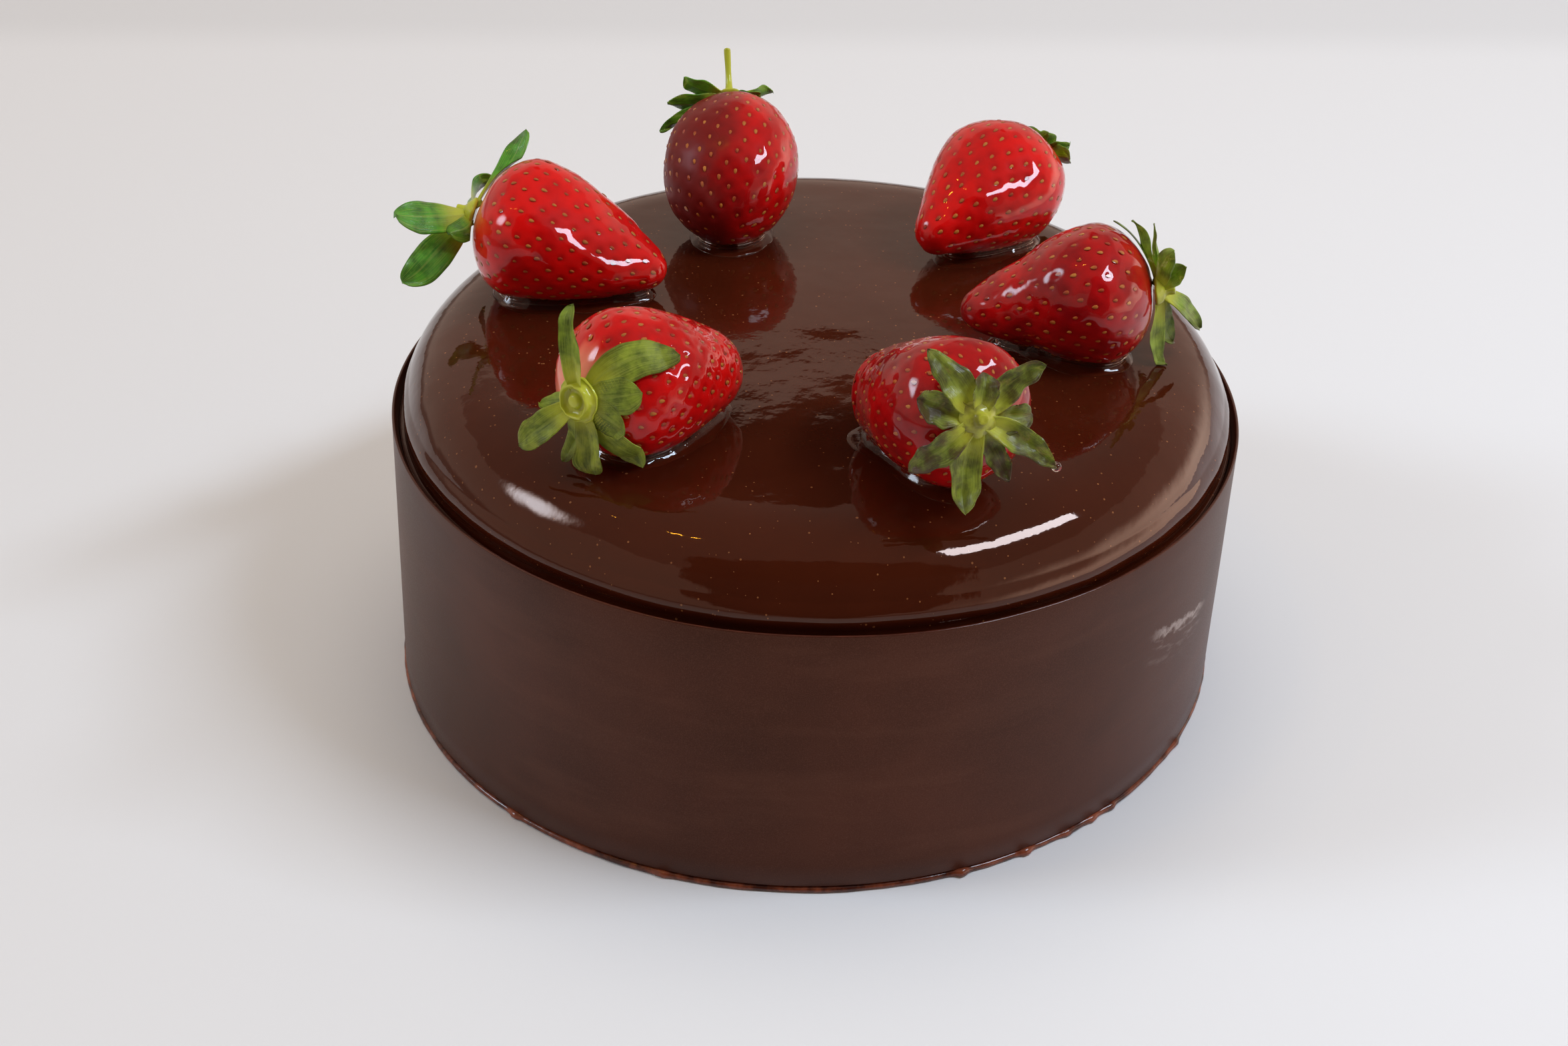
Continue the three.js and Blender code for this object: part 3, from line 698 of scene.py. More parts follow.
def band_material(colours):
    """Tempered dark chocolate, spread thin on a strip: satin, with the fine grain of cocoa
    particles, faint marks of its spreading and one pale smear of bloom."""
    made, nodes = new_material("tempered_chocolate")
    place = nodes.place()
    x, y, z = nodes.apart(place)
    slow = nodes.noise(place, 30, 3.0)
    base = nodes.mix(nodes.ramp(slow, 0.35, 0.7, 0.0, 0.5), list(colours.band), "512a1e")
    # cocoa grain of 0.03 mm, drawn at 0.25 mm so that it shows
    grain = nodes.noise(place, 0.25, 2.0, 0.7)
    grained = nodes.mix(nodes.ramp(grain, 0.45, 0.75, 0.0, 0.3), base, "6a4436")
    # spreading marks, drawn out round the band and tilted
    drawn = nodes.mapping(place, Rotation=(0, math.radians(-24), 0), Scale=(0.16, 0.16, 1))
    streak = nodes.ramp(nodes.noise(drawn, 7, 3.0, 0.6), 0.5, 0.8, 0.0, 0.25)
    streaked = nodes.mix(streak, grained, "5f3c2e")
    # bloom: one smeared stroke 26 mm long, high on the right of the front, with feathers
    # below it. Laid out flat: distance round the band from the front, and height.
    around = nodes.maths("ARCTAN2", x, nodes.maths("MULTIPLY", y, -1.0))
    arc = nodes.maths("MULTIPLY", around, 90 * MM)
    flat = nodes.add("CombineXYZ", {"X": arc, "Y": z}).outputs["Vector"]
    laid = nodes.mapping(flat, "TEXTURE", Location=(80 * MM, 40.5 * MM, 0),
                         Rotation=(0, 0, math.radians(-15.6)))
    length, height, _ = nodes.apart(laid)
    wobble = nodes.noise(laid, 3.2, 4.0, 0.6)
    off = nodes.maths("MULTIPLY_ADD", wobble, 6 * MM, nodes.maths("SUBTRACT", height, 3 * MM))
    line = nodes.ramp(nodes.maths("ABSOLUTE", off), 0.1 * MM, 1.1 * MM, 0.6, 0.0)
    sheared = nodes.mapping(laid, Rotation=(0, 0, math.radians(-50)), Scale=(0.25, 1, 1))
    feathers = nodes.ramp(nodes.noise(sheared, 1.8, 4.0, 0.6), 0.5, 0.72, 0.0, 0.6)
    below = nodes.ramp(off, -9 * MM, -0.5 * MM)
    over = nodes.ramp(off, -0.5 * MM, 0.6 * MM, 1.0, 0.0)
    hanging = nodes.maths("MULTIPLY", nodes.maths("MULTIPLY", below, over), feathers)
    from_middle = nodes.maths("ABSOLUTE", nodes.maths("SUBTRACT", length, 12 * MM))
    ends = nodes.ramp(from_middle, 7 * MM, 15 * MM, 1.0, 0.0, soft=True)
    bloom = nodes.maths("MULTIPLY", ends, nodes.maths("MAXIMUM", line, hanging))
    nodes.surface({
        "Base Color": nodes.mix(bloom, streaked, "b5a9a4"), "IOR": 1.47,
        "Roughness": nodes.ramp(grain, 0.3, 0.7, 0.34, 0.46),
        "Normal": nodes.bump(grain, 0.25, 0.05),
        "Specular IOR Level": 0.36, "Specular Tint": linear("ffb896"),
    })
    return made


def edge_material():
    """The rim of the band, where glaze has run over the broken chocolate: dark and wet."""
    made, nodes = new_material("glazed_chocolate_rim")
    patch = nodes.noise(nodes.place(), 3, 3.0)
    nodes.surface({
        "Base Color": nodes.mix(patch, "1f0d08", "5a2a1c"), "Roughness": 0.16, "IOR": 1.48,
    })
    return made


def bead_material():
    """The bead of glaze at the foot: thin enough to glow red-brown, with cake crumbs in it."""
    made, nodes = new_material("squeezed_glaze")
    patch = nodes.noise(nodes.place(), 5, 4.0, 0.65)
    nodes.surface({
        "Base Color": nodes.mix(nodes.ramp(patch, 0.4, 0.65), "3a160c", "86432a"),
        "Roughness": 0.18, "IOR": 1.48, "Normal": nodes.bump(patch, 0.4, 0.3),
    })
    return made


def flesh_material(colours):
    """Ripe strawberry skin under set nappage: thin, wet and translucent red, whiter near the
    calyx, with painted shade that darkens the hollows round the seeds."""
    made, nodes = new_material("strawberry_skin")
    place = nodes.place()
    deep, pale, hollow, dull_and_shaded = (
        nodes.attribute(name) for name in ("deep", "pale", "hollow", "dull_and_shaded"))
    cloud = nodes.maths("SUBTRACT", nodes.noise(place, 9, 4.0, 0.6), 0.5)
    # deep and dull carry a painted shade: on the side of a strawberry marked dull the red is
    # darker and turns brownish
    shade = nodes.maths("MULTIPLY_ADD", cloud, 1.3, deep, clamp=True)
    red = nodes.mix(shade, list(colours.flesh), list(colours.flesh_deep))
    white = nodes.mix(pale, nodes.mix(dull_and_shaded, red, "6b1712"), "f28e6c")
    # swellings of the skin about 1 mm across between the seeds
    swell = nodes.noise(place, 2.4, 2.0)
    nodes.surface({
        # painted shade: the hollows round the seeds are darker red
        "Base Color": nodes.mix(nodes.maths("MULTIPLY", hollow, 0.35), white, "6a0406"),
        "Roughness": 0.5, "IOR": 1.38, "Normal": nodes.bump(swell, 0.35, 0.3),
        "Specular IOR Level": 0.08,
        "Subsurface Weight": 0.12, "Subsurface Radius": (1.0, 0.12, 0.06),
        "Subsurface Scale": 1.2 * MM,
        "Coat Weight": nodes.maths("MULTIPLY_ADD", dull_and_shaded, -0.6, 1.0),
        "Coat Roughness": nodes.maths("MULTIPLY_ADD", dull_and_shaded, 0.4, 0.025),
        "Coat IOR": 1.39, "Coat Normal": nodes.attribute("film", "Vector"),
    })
    return made


def seed_material(colours):
    """Strawberry seeds: hard straw-yellow grains, some browner, wet with nappage."""
    made, nodes = new_material("strawberry_seed")
    each = nodes.ramp(nodes.noise(nodes.place(), 3.5, 1.0), 0.35, 0.7)
    nodes.surface({
        "Base Color": nodes.mix(each, list(colours.seed), "8e260c"),
        "Roughness": 0.5, "IOR": 1.4, "Specular IOR Level": 0.25,
        "Coat Weight": 1.0, "Coat Roughness": 0.025, "Coat IOR": 1.42,
        "Coat Normal": nodes.attribute("film", "Vector"),
    })
    return made


def leaf_material(colours):
    """Strawberry calyx: a soft leaf with fine lengthwise fibres, yellow-green at its root and
    brown where its edge has dried; matt and hairy when dry, shining where nappage wets it."""
    made, nodes = new_material("calyx_leaf")
    place = nodes.place()
    spread = nodes.add("UVMap", {}, uv_map="leaf").outputs["UV"]
    side, along, _ = nodes.apart(spread)
    dry, fresh, wet = (nodes.attribute(name) for name in ("dry", "fresh", "wet"))
    green = nodes.mix(fresh, list(colours.leaf), "4a9a20")
    dark = nodes.mix(fresh, "4a5616", "195208")
    # patches 3 mm across, where the blade is thick and dark
    patch = nodes.noise(place, 3, 3.0, 0.6)
    thick = nodes.ramp(patch, 0.38, 0.66, 0.0, 0.85)
    patched = nodes.mix(nodes.maths("MULTIPLY_ADD", dry, 0.8, thick, clamp=True), green, dark)
    rooted = nodes.mix(nodes.ramp(along, 0.15, 0.5, 0.95, 0.0, soft=True), patched, "b6ba30")
    # fibres: about 24 across the blade, each running its whole length
    fibre = nodes.noise(nodes.mapping(spread, Scale=(14, 1.5, 1)), 1, 4.0, 0.65, unit=1)
    fibred = nodes.mix(nodes.ramp(fibre, 0.5, 0.72, 0.0, 0.65), rooted, "a9b04a")
    furrowed = nodes.mix(nodes.ramp(fibre, 0.28, 0.45, 0.5, 0.0), fibred, "3c4a12")
    vein = nodes.ramp(nodes.maths("ABSOLUTE", side), 0.0, 0.09, 0.4, 0.0)
    veined = nodes.mix(vein, furrowed, "9aa548")
    blotched = nodes.ramp(patch, 0.42, 0.62, -0.4, 0.8)
    stained = nodes.maths("MULTIPLY_ADD", blotched, dry, dry, clamp=True)
    relief = nodes.bump(fibre, 0.6, 0.18)
    nap = nodes.noise(place, 0.35, 2.0)
    nodes.surface({
        "Base Color": nodes.mix(stained, veined, "453016"), "Roughness": 0.5, "IOR": 1.42,
        "Normal": nodes.bump(nap, 0.25, 0.05, relief), "Specular IOR Level": 0.3,
        "Subsurface Weight": 0.15, "Subsurface Radius": (0.6, 1.0, 0.2),
        "Subsurface Scale": 0.5 * MM, "Sheen Weight": 0.03, "Sheen Roughness": 0.4,
        "Coat Weight": wet, "Coat Roughness": 0.06, "Coat IOR": 1.4, "Coat Normal": relief,
    })
    return made


def nappage_material():
    """Clear apricot nappage: a set jelly, as clear as glass, faintly warm."""
    made, nodes = new_material("clear_nappage")
    wrinkle = nodes.noise(nodes.place(), 2.5, 2.0)
    nodes.surface({
        "Base Color": linear("fff3ea"), "Roughness": 0.02, "IOR": 1.42,
        "Normal": nodes.bump(wrinkle, 0.35, 0.25), "Transmission Weight": 1.0,
    })
    return made


def laminate_material():
    """A pale matt table top, a little darker towards the back."""
    made, nodes = new_material("pale_laminate")
    _, back, _ = nodes.apart(nodes.place())
    far = nodes.ramp(back, 0.305, 0.335, soft=True)
    nodes.surface({
        "Base Color": nodes.mix(far, "e6e8e8", "dddfdf"), "Roughness": 0.6, "IOR": 1.45,
    })
    return made


# ---------------------------------------------------------------- operators

class CAKE_OT_glazed_body(bpy.types.Operator):
    """Spin the cake's body with its glazed dome, rounded shoulder and the lip at the band"""

    bl_idname = "cake.glazed_body"
    bl_label = "Glazed body"

    def execute(self, context):
        sizes = context.scene.cake_sizes
        height = sizes.band_height / MM
        wave = sizes.glaze_wave / MM
        profile = list(CORE) + spline(LIP, 5)
        first = math.acos(((LIP[-1][0] - FLAT_RADIUS) / SHOULDER_REACH) ** (SHOULDER_POWER / 2))
        for i in range(1, SHOULDER_STEPS + 1):
            turn = first + (math.pi / 2 - first) * i / SHOULDER_STEPS
            radius = FLAT_RADIUS + SHOULDER_REACH * math.cos(turn) ** (2 / SHOULDER_POWER)
            profile.append((radius, dome_height(radius)))
        for i in range(1, FLAT_STEPS + 1):
            radius = FLAT_RADIUS * (1 - i / FLAT_STEPS)
            profile.append((radius, dome_height(radius)))
        bm = bmesh.new()
        turned(bm, profile, ROUND_STEPS)
        for vert in bm.verts:
            angle, radius = polar(vert.co)
            lip = smooth_step(52, 58, vert.co.z) * (1 - smooth_step(66, 76, vert.co.z))
            if 80 < radius < 88 and lip > 0:
                ring = on_ring(angle, 2.2)
                draw_in = 0.3 * noise.noise(ring) + 0.16 * noise.noise(ring * 4)
                from_drawn = angle - math.radians(LIP_DRAWN_IN)
                draw_in -= 0.4 * smooth_step(0.3, 1, math.cos(from_drawn))
                widen(vert.co, (radius + draw_in * lip) / radius)
            if vert.co.z > 60:
                slow = noise.noise(Vector((vert.co.x / 30, vert.co.y / 30, 3.1)))
                quick = noise.noise(Vector((vert.co.x / 9, vert.co.y / 9, 7.7)))
                vert.co.z += wave * (slow + 0.2 * quick) * smooth_step(60, 72, vert.co.z)
            vert.co = lean(vert.co, height)
        put_piece("cake_glaze", bm, glaze_material(context.scene.cake_colours),
                  ["glazed_cake"])
        return {"FINISHED"}


class CAKE_OT_band(bpy.types.Operator):
    """Spin the thin chocolate band, with its softened and slightly uneven upper edge"""

    bl_idname = "cake.band"
    bl_label = "Chocolate band"

    def execute(self, context):
        sizes = context.scene.cake_sizes
        outer, height = sizes.band_radius / MM, sizes.band_height / MM
        inner = outer - sizes.band_wall / MM
        low, high = BAND_FOOT + BAND_FOOT_CHAMFER, height - BAND_CHAMFER
        profile = [(inner, BAND_FOOT), (outer - 0.15, BAND_FOOT)]
        profile += [(outer, low + (high - low) * i / 12) for i in range(13)]
        for i in range(1, 7):
            turn = math.pi / 2 * i / 6
            profile.append((outer - BAND_CHAMFER * (1 - math.cos(turn)),
                            height - BAND_CHAMFER * (1 - math.sin(turn))))
        profile += [(outer - inward, height - down) for inward, down in BAND_RIM]
        profile += [(inner + 0.1, height - 2.4), (inner, height - 6), (inner, BAND_FOOT)]
        bm = bmesh.new()
        turned(bm, profile, ROUND_STEPS)
        for vert in bm.verts:
            ring = on_ring(polar(vert.co)[0], 3, 0.4)
            top = smooth_step(height - 4, height, vert.co.z)
            vert.co.z += BAND_WAVE * noise.noise(ring * 1.3) * top
            widen(vert.co, 1 + 0.0012 * noise.noise(ring + Vector((0, 0, vert.co.z / 30))))
            vert.co = lean(vert.co, height)
        piece = put_piece("band", bm, band_material(context.scene.cake_colours),
                          ["chocolate_band"])
        piece.data.materials.append(edge_material())
        for polygon in piece.data.polygons:
            middle = math.hypot(polygon.center.x - LEAN * MM, polygon.center.y)
            if polygon.normal.z > 0.75 and middle < (outer - 0.12) * MM:
                polygon.material_index = 1
        return {"FINISHED"}


class CAKE_OT_bead(bpy.types.Operator):
    """Lay the uneven bead of glaze that shows under the band, with its blobs"""

    bl_idname = "cake.bead"
    bl_label = "Foot bead"

    def execute(self, context):
        profile = [(BEAD_BACK, BEAD_LOW), (88.8, BEAD_LOW)]
        for i in range(BEAD_STEPS + 1):
            turn = -0.35 + (math.pi + 0.7) * i / BEAD_STEPS
            profile.append((BEAD_RADIUS + math.cos(turn), 0.62 + 0.78 * math.sin(turn)))
        profile += [(BEAD_BACK, 1.3), (BEAD_BACK, BEAD_LOW)]
        bm = bmesh.new()
        turned(bm, profile, BEAD_ROUND_STEPS)
        for vert in bm.verts:
            angle, radius = polar(vert.co)
            if radius < BEAD_START:
                continue
            ring = on_ring(angle, 9)
            out = 0.22 * noise.noise(ring) + 0.12 * noise.noise(ring * 3.3)
            for where, size in BLOBS:
                out += size * bell(degrees_off(angle, where) / BLOB_WIDE)
            share = smooth_step(BEAD_START, 89.6, radius)
            widen(vert.co, 1 + out * share / radius)
            vert.co.z = max(BEAD_LOW, vert.co.z * (1 + 0.35 * out * share))
        put_piece("glaze_bead", bm, bead_material())
        return {"FINISHED"}


class CAKE_OT_strawberries(bpy.types.Operator):
    """Shape the strawberries' flesh, with a hollow round every seed"""

    bl_idname = "cake.strawberries"
    bl_label = "Strawberries"

    def execute(self, context):
        skin = flesh_material(context.scene.cake_colours)
        for number, fruit in enumerate(STRAWBERRIES, 1):
            bm = bmesh.new()
            bmesh.ops.create_uvsphere(bm, u_segments=208, v_segments=140, radius=1)
            for vert in bm.verts:
                along = (1 + max(-1, min(1, vert.co.z))) / 2
                vert.co = flesh_point(fruit, along, polar(vert.co)[0])
            bm.normal_update()
            self.finish(bm, number, fruit)
            bmesh.ops.recalc_face_normals(bm, faces=bm.faces)
            put_piece(f"strawberry_flesh_{number}", bm, skin, [f"strawberry_{number}"])
        return {"FINISHED"}

    def finish(self, bm, number, fruit):
        """Dimples and folds the flesh, lays it in place and stores what its material reads."""
        placement = fruit_placement(fruit)
        upright = placement.to_3x3()
        glints = film_glints(fruit, placement)
        seeds = seed_places(fruit)
        tree = kdtree.KDTree(len(seeds))
        for i, (along, turn, size) in enumerate(seeds):
            tree.insert(flesh_point(fruit, along, turn), i)
        tree.balance()
        deep, pale, hollow, dull_and_shaded = (
            bm.verts.layers.float.new(name) for name in ("deep", "pale", "hollow", "dull_and_shaded"))
        film = bm.verts.layers.float_vector.new("film")
        fold, depth = fruit["crease"]
        for vert in bm.verts:
            point = vert.co.copy()
            out = vert.normal.copy()
            dent, slant = 0.0, Vector()
            for spot, index, away in tree.find_range(point, 2.6 * DIMPLE_RADIUS):
                wide = DIMPLE_RADIUS * seeds[index][2]
                share = bell(away / wide)
                dent += share
                slant += (spot - point) * (2 * share * DIMPLE_DEPTH / wide**2)
            dent = min(1, dent)
            slow = noise.noise(point / 7 + Vector((number * 9, 0, 0)))
            along = point.x / fruit["length"]
            from_fold = (along - fold) * fruit["length"] / FOLD_WIDE
            folded = depth * bell(from_fold)
            sunk = DIMPLE_DEPTH * dent + folded * smooth_step(-0.3, 0.4, out.z)
            vert.co = placement @ (point + out * (0.25 * slow - sunk))
            facing = out + slant * fruit["skin"] - Vector((1.2 * from_fold * folded, 0, 0))
            vert[film] = upright @ film_normal(fruit, glints, point, facing)
            streak = noise.noise(on_ring(math.atan2(point.z, point.y), 3, number))
            edge = fruit["pale"] * max(0.1, 1 + 1.3 * streak)
            # painted shade: the side that faces left is made darker, both a deeper red and more
            # brownish, and its coat duller
            shaded = smooth_step(-0.5, 0.5, -vert[film].x - 0.1) * fruit["dull_and_shaded"]
            vert[deep] = fruit["deep"] + 0.3 * slow + shaded
            vert[dull_and_shaded] = shaded
            vert[pale] = (1 - smooth_step(0, edge + 0.02, along)) if edge > 0.01 else 0
            # how far into a seed's hollow, where the material paints shade
            vert[hollow] = dent


class CAKE_OT_seeds(bpy.types.Operator):
    """Set a seed in every hollow of the flesh, lengthwise, clear of the glaze"""

    bl_idname = "cake.seeds"
    bl_label = "Seeds"

    def execute(self, context):
        part = bmesh.new()
        bmesh.ops.create_uvsphere(part, u_segments=8, v_segments=6, radius=1)
        for vert in part.verts:
            vert.co.y *= 1 - SEED_POINTED * vert.co.x
        grain = bpy.data.meshes.new("grain")
        part.to_mesh(grain)
        part.free()
        bm = bmesh.new()
        normals = []
        for fruit in STRAWBERRIES:
            placement = fruit_placement(fruit)
            glints = film_glints(fruit, placement)
            for along, turn, size in seed_places(fruit):
                spot = flesh_point(fruit, along, turn)
                world = placement @ spot
                if world.z < glaze_height(world.x, world.y) + SEED_CLEAR:
                    continue
                out, ahead = flesh_axes(fruit, along, turn)
                spot -= out * SEED_SUNK
                stand = Matrix((ahead, out.cross(ahead), out)).transposed().to_4x4()
                stand.translation = spot
                form = Matrix.Diagonal((
                    SEED_LENGTH / 2 * size, SEED_WIDTH / 2 * size, SEED_THICK / 2, 1,
                ))
                film = placement.to_3x3() @ film_normal(fruit, glints, spot, out)
                normals += [film] * len(grain.vertices)
                each = grain.copy()
                each.transform(placement @ stand @ form)
                bm.from_mesh(each, face_normals=False, vertex_normals=False)
                bpy.data.meshes.remove(each)
        bpy.data.meshes.remove(grain)
        layer = bm.verts.layers.float_vector.new("film")
        for vert, film in zip(bm.verts, normals):
            vert[layer] = film
        put_piece("strawberry_seeds", bm, seed_material(context.scene.cake_colours))
        return {"FINISHED"}


class CAKE_OT_calyxes(bpy.types.Operator):
    """Grow the green calyxes: a crown with its cut stalk and the leaves round it"""

    bl_idname = "cake.calyxes"
    bl_label = "Calyxes"

    def execute(self, context):
        green = leaf_material(context.scene.cake_colours)
        for number, fruit in enumerate(STRAWBERRIES, 1):
            placement = fruit_placement(fruit)
            crown = crown_turn(fruit)
            bm = bmesh.new()
            layers = [bm.loops.layers.uv.new("leaf")]
            layers += [bm.verts.layers.float.new(name) for name in ("dry", "fresh", "wet")]
            tip = None
            for index, leaf in enumerate(fruit["leaves"]):
                draw = random.Random(number * 40 + index)
                sweep = fruit["sweeps"].get(index, 0)
                end = self.grow(bm, fruit, placement, crown, leaf, sweep, draw, layers)
                tip = end if (number, index) == DROP_LEAF else tip
            self.crown(bm, fruit, placement @ crown, layers)
            put_piece(f"calyx_leaves_{number}", bm, green, [f"calyx_{number}"])
            if tip:
                self.drop(tip)
        return {"FINISHED"}

    def grow(self, bm, fruit, placement, crown, leaf, sweep, draw, layers):
        """One leaf: a grid laid along its curved midrib, folded, rippled and thickened.
        Returns where its tip lies."""
        turn, length, width, flare, bend, twist, belly = leaf
        spread, dry, fresh, wet = layers
        around = math.radians(turn)
        rise = math.radians(flare)
        out = Vector((0, math.cos(around), math.sin(around)))
        ahead = out * math.cos(rise) + Vector((-math.sin(rise), 0, 0))
        aside = Vector((0, -math.sin(around), math.cos(around)))
        if width < LEAF_NARROW:
            width *= LEAF_SPREAD
            twist += LEAF_TURNED
        across = Matrix.Rotation(math.radians(twist), 3, ahead) @ aside
        over = across.cross(ahead)
        phase = draw.uniform(0, 6)
        fold = draw.uniform(-0.1, 0.45) + 0.3 * fruit["dried"]
        hook = draw.uniform(-45, 45)
        burnt = fruit["dried"] * draw.uniform(0.3, 1.1)
        tone = min(1, max(0, fruit["fresh"] + draw.uniform(-0.12, 0.12)))
        reach = length + fruit["hub"] - LEAF_ROOT
        clear = GAP + LEAF_THICKNESS / 2
        made = bmesh.ops.create_grid(bm, x_segments=16, y_segments=40, size=1)
        floor = placement.inverted()
        tip = None
        for vert in made["verts"]:
            side, share = vert.co.x, (vert.co.y + 1) / 2
            rim = smooth_step(0.5, 1.0, abs(side)) * (0.3 + 0.7 * share)
            body = 0.5 * fruit["dried"] ** 2 * smooth_step(0.15, 0.45, share)
            vert[dry] = burnt * max(rim, smooth_step(0.55, 1.0, share) * 0.9, body)
            vert[fresh] = tone
            vert[wet] = fruit["wet"]
            for loop in vert.link_loops:
                loop[spread].uv = (side, share)
            # along the midrib, which bends, hooks at its tip and sweeps sideways
            point = Vector((-GAP - HUB_HEIGHT / 2, 0, 0)) + out * LEAF_ROOT
            step = reach * share / SPINE_STEPS
            for i in range(SPINE_STEPS):
                part = (i + 0.5) / SPINE_STEPS * share
                pitch = math.radians(flare + bend * (part - 0.5)
                                     + hook * smooth_step(0.7, 1, part))
                swing = math.radians(sweep) * (part - 0.35)
                point += out * (step * math.cos(pitch) * math.cos(swing))
                point += aside * (step * math.sin(swing))
                point.x -= step * math.sin(pitch)
            # then sideways to a ragged edge
            neck = LEAF_NECK - 0.2 * tone
            half = leaf_outline(width, belly, share, neck, fruit["blunt"])
            ragged = 1 + smooth_step(0.2, 0.5, share) * (0.05 + 0.22 * fruit["dried"]) * (
                noise.noise(Vector((share * 6, math.copysign(0.8, side), phase))))
            point += across * (side * half * ragged)
            # and over: the fold, the ripples, the edge's waves, the crinkles and the midrib
            ripple = LEAF_RIPPLE * width * math.sin(LEAF_WAVES * share + turn)
            point += over * (abs(side) ** 1.5 * (fold * half + ripple * share))
            edge_wave = LEAF_EDGE_WAVE * width * math.sin(13 * share + phase + 2 * side)
            point += over * (edge_wave * side * side * share)
            crinkle = noise.noise(Vector((side * half / 1.8, share * length / 2.4, phase)))
            point += over * ((0.4 + 0.4 * fruit["dried"]) * crinkle
                             * smooth_step(0.1, 0.5, share) * (1 - 0.7 * tone))
            point -= over * (LEAF_MIDRIB * bell(side / 0.12) * (1 - 0.6 * share))
            point = crown @ point
            if share >= LEAF_HELD:
                world = placement @ clear_of_flesh(fruit, point, clear)
                world.z = max(world.z, glaze_height(world.x, world.y) + clear)
                point = floor @ world
            vert.co = placement @ point
            if share > 0.999 and abs(side) < 0.05:
                tip = vert.co.copy()
        faces = {face for vert in made["verts"] for face in vert.link_faces}
        bmesh.ops.solidify(bm, geom=list(faces), thickness=LEAF_BLADE)
        return tip

    def crown(self, bm, fruit, stand, layers):
        """The crown that the leaves grow from, with the end of its stalk."""
        hub, stalk = fruit["hub"], fruit["stalk"]
        spread, dry, fresh, wet = layers
        foot = [(hub * 0.9, 0), (hub, 0.2 * HUB_HEIGHT), (hub * 0.97, 0.4 * HUB_HEIGHT)]
        before = len(bm.verts)
        part = bmesh.new()
        turned(part, [(0, 0)] + spline(foot + STALKS[stalk], 4), 48)
        swap = bpy.data.meshes.new("crown")
        part.to_mesh(swap)
        part.free()
        bm.from_mesh(swap)
        bpy.data.meshes.remove(swap)
        lay = Matrix.Translation((-HUB_CLEAR, 0, 0)) @ Matrix.Rotation(-math.pi / 2, 4, "Y")
        bm.verts.ensure_lookup_table()
        for vert in bm.verts[before:]:
            point = vert.co.copy()
            radius = polar(point)[1]
            # painted shade: the floor of a cup's hollow is made a little darker and browner
            inside = smooth_step(1.3, 1.7, radius) * (1 - smooth_step(2.2, 2.7, radius))
            vert[dry] = 0.12 * inside if stalk == "cup" else fruit["dried"] * 0.35
            vert[fresh] = fruit["fresh"]
            vert[wet] = 0.8
            if stalk == "long":
                point.x += STALK_BEND * point.z**2
            widen(point, 1 + 0.09 * noise.noise(point / 1.3) * smooth_step(0.8, 2, radius))
            for loop in vert.link_loops:
                loop[spread].uv = (0.5, 0.1)
            vert.co = stand @ lay @ point

    def drop(self, tip):
        """A drop of nappage hanging on the tip of a leaf."""
        bm = bmesh.new()
        bmesh.ops.create_uvsphere(bm, u_segments=32, v_segments=20, radius=DROP_RADIUS)
        for vert in bm.verts:
            vert.co.x *= 1 + 0.25 * max(0, -vert.co.x)
            vert.co += tip
        piece = put_piece("nappage_drop", bm, nappage_material())
        piece.visible_shadow = False


class CAKE_OT_nappage(bpy.types.Operator):
    """Pour the clear nappage that has run off each strawberry and set round its foot"""

    bl_idname = "cake.nappage"
    bl_label = "Nappage"

    def execute(self, context):
        clear = nappage_material()
        for number, fruit in enumerate(STRAWBERRIES, 1):
            centre, outline = foot_outline(fruit, fruit_placement(fruit))
            bm = bmesh.new()
            ring = [(POOL_RING + i, 0) for i in range(POOL_STEPS + 1)]
            ring += [(POOL_RING + POOL_STEPS, -1), (POOL_RING, -1), (POOL_RING, 0)]
            turned(bm, ring, FOOT_STEPS)
            for vert in bm.verts:
                angle, radius = polar(vert.co)
                share = min(1, max(0, (radius - POOL_RING) / POOL_STEPS))
                edge = outline[round(angle / TURN * FOOT_STEPS) % FOOT_STEPS]
                reach = 1.2 + 0.7 * noise.noise(on_ring(angle, 2.5, number))
                for where, out, wide in fruit["pools"]:
                    reach += out * bell(degrees_off(angle, where) / wide)
                run = (reach + POOL_UNDER) * share
                place = centre + on_ring(angle, edge - POOL_UNDER + run)
                fall = max(0, 1 - run / (1.15 * FILM_RISE))
                height = FILM_RISE * fall**1.25 + 0.34 * (1 - share**6) - 0.08
                rumple = noise.noise(Vector((place.x / 2.6, place.y / 2.6, 4)))
                height += 0.2 * rumple * (1 - share) * min(1, 4 * share)
                if vert.co.z < -0.5:
                    height = -0.4
                place.z = glaze_height(place.x, place.y) + height
                vert.co = place
            bmesh.ops.recalc_face_normals(bm, faces=bm.faces)
            piece = put_piece(f"nappage_pool_{number}", bm, clear)
            piece.visible_shadow = False
        return {"FINISHED"}


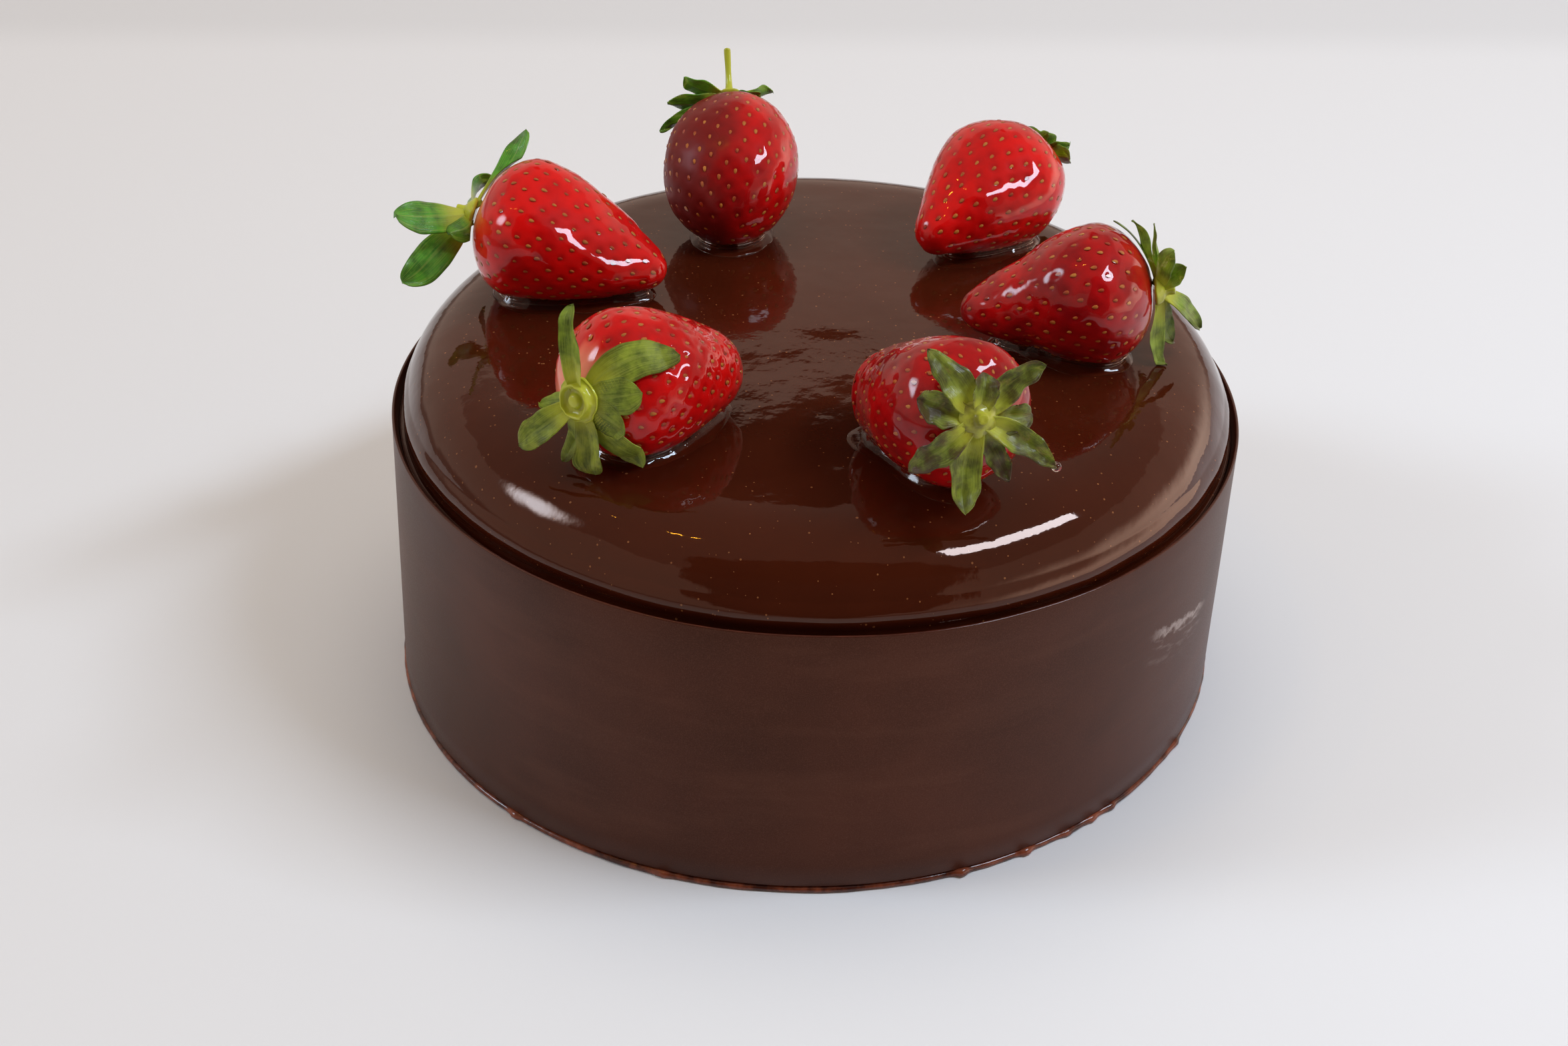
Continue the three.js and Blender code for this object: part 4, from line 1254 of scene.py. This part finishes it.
class CAKE_OT_stage(bpy.types.Operator):
    """Set the plain pale table, the soft studio light and the camera"""

    bl_idname = "cake.stage"
    bl_label = "Stage"

    def execute(self, context):
        scene = context.scene
        self.table(scene)
        self.room(scene)
        for lamp in LAMPS:
            self.lamp(scene, *lamp)
        self.camera(scene)
        scene.view_settings.view_transform = "Standard"
        scene.view_settings.look = "None"
        return {"FINISHED"}

    def table(self, scene):
        bm = bmesh.new()
        bmesh.ops.create_grid(bm, x_segments=1, y_segments=1, size=0.7)
        mesh = bpy.data.meshes.new("table")
        bm.to_mesh(mesh)
        bm.free()
        table = bpy.data.objects.new("table", mesh)
        scene.collection.objects.link(table)
        mesh.materials.append(laminate_material())

    def room(self, scene):
        """The light that comes from all round, as the glaze and the nappage mirror it."""
        world = bpy.data.worlds.new("studio")
        scene.world = world
        world.use_nodes = True
        nodes = Nodes(world.node_tree)
        way = nodes.add("TexCoord", {}).outputs["Generated"]
        aside, _, height = nodes.apart(way)
        # the floor past the table is dimmer; on the right the wall is bright down to it
        floor = nodes.ramp(height, -0.05, 0.02, 0.4, 1.0, soft=True)
        beside = nodes.ramp(aside, 0.5, 0.98, soft=True)
        low = nodes.ramp(height, 0.02, 0.24, 2.5, 0.0, soft=True)
        right = nodes.maths("MULTIPLY", beside, low)
        # pale walls up to about 31 degrees above the table, a dimmer ceiling over them
        uneven = nodes.noise(way, 0.25, 3.0, 0.55, unit=1)
        edge = nodes.maths("MULTIPLY_ADD", uneven, 0.16, height)
        wall = nodes.ramp(edge, 0.583, 0.603, 0.62, 0.34, soft=True)
        # a soft window low on the left
        near = nodes.ramp(nodes.towards(way, (-0.838, -0.03, 0.545)), 0.967, 1.0, soft=True)
        glow = nodes.maths("MULTIPLY", nodes.maths("POWER", near, 3.5), 16.0)
        # the dark side of the room, behind and above the camera
        front = nodes.towards(way, (0.05, -0.85, 0.52))
        front = nodes.maths("MULTIPLY_ADD", uneven, 0.12, front)
        dark = nodes.ramp(front, 0.88, 0.90, 1.0, 0.1, soft=True)
        # and something dark and narrow that stands behind the cake
        behind = nodes.towards(way, (0.024, 0.831, 0.556))
        behind = nodes.maths("MULTIPLY_ADD", uneven, 0.008, behind)
        narrow = nodes.ramp(behind, 1.001, 1.0018, 1.0, 0.08, soft=True)
        shaded = nodes.maths("MULTIPLY", nodes.maths("MULTIPLY", dark, narrow), floor)
        level = nodes.maths("MULTIPLY_ADD", wall, shaded, right)
        back = nodes.add("Background", {
            "Color": nodes.mix(near, "ffe6d4", "dcecff"),
            "Strength": nodes.maths("ADD", level, glow),
        })
        nodes.add("OutputWorld", {"Surface": back.outputs["Background"]})

    def lamp(self, scene, name, way, distance, size, power, end, colour, mirrored):
        """A soft lamp seen from the cake at an azimuth from the back and an elevation; its
        long side points at the second direction."""
        here, there = (
            Vector((math.sin(a) * math.cos(e), math.cos(a) * math.cos(e), math.sin(e)))
            for a, e in (map(math.radians, direction) for direction in (way, end))
        )
        data = bpy.data.lights.new(name, "AREA")
        data.shape = "RECTANGLE"
        data.size, data.size_y = size
        data.energy = power
        data.color = linear(colour)[:3]
        holder = bpy.data.objects.new(name, data)
        scene.collection.objects.link(holder)
        long_side = (there - here * there.dot(here)).normalized()
        stand = Matrix((long_side, here.cross(long_side), here)).transposed().to_4x4()
        holder.matrix_world = Matrix.Translation(here * distance + LAMPS_AIM) @ stand
        holder.visible_camera = False
        holder.visible_glossy = mirrored

    def camera(self, scene):
        """The photograph's viewpoint."""
        camera = bpy.data.cameras.new("camera")
        camera.lens = 61.65
        camera.sensor_width = 36
        camera.clip_start = 0.01
        camera.clip_end = 50
        holder = bpy.data.objects.new("camera", camera)
        scene.collection.objects.link(holder)
        holder.location = (0.0021, -0.4908, 0.3633)
        holder.rotation_euler = Euler((math.radians(55.65), 0, math.radians(0.79)))
        scene.camera = holder


class CAKE_PT_panel(bpy.types.Panel):
    """Lists the cake's pieces in the sidebar"""

    bl_idname = "CAKE_PT_panel"
    bl_label = "Strawberry chocolate cake"
    bl_space_type = "VIEW_3D"
    bl_region_type = "UI"
    bl_category = "Cake"

    def draw(self, context):
        for group in (context.scene.cake_sizes, context.scene.cake_colours):
            for key in group.bl_rna.properties.keys():
                if key not in ("rna_type", "name"):
                    self.layout.prop(group, key)
        for operator in OPERATORS:
            self.layout.operator(operator.bl_idname)


OPERATORS = (
    CAKE_OT_glazed_body, CAKE_OT_band, CAKE_OT_bead, CAKE_OT_strawberries, CAKE_OT_seeds,
    CAKE_OT_calyxes, CAKE_OT_nappage, CAKE_OT_stage,
)
CLASSES = (CakeSizes, CakeColours, *OPERATORS, CAKE_PT_panel)


def register():
    for each in CLASSES:
        bpy.utils.register_class(each)
    bpy.types.Scene.cake_sizes = bpy.props.PointerProperty(type=CakeSizes)
    bpy.types.Scene.cake_colours = bpy.props.PointerProperty(type=CakeColours)


def unregister():
    del bpy.types.Scene.cake_colours
    del bpy.types.Scene.cake_sizes
    for each in reversed(CLASSES):
        bpy.utils.unregister_class(each)


def main():
    register()
    bpy.ops.cake.glazed_body()
    bpy.ops.cake.band()
    bpy.ops.cake.bead()
    bpy.ops.cake.strawberries()
    bpy.ops.cake.seeds()
    bpy.ops.cake.calyxes()
    bpy.ops.cake.nappage()
    bpy.ops.cake.stage()


if __name__ == "__main__":
    main()
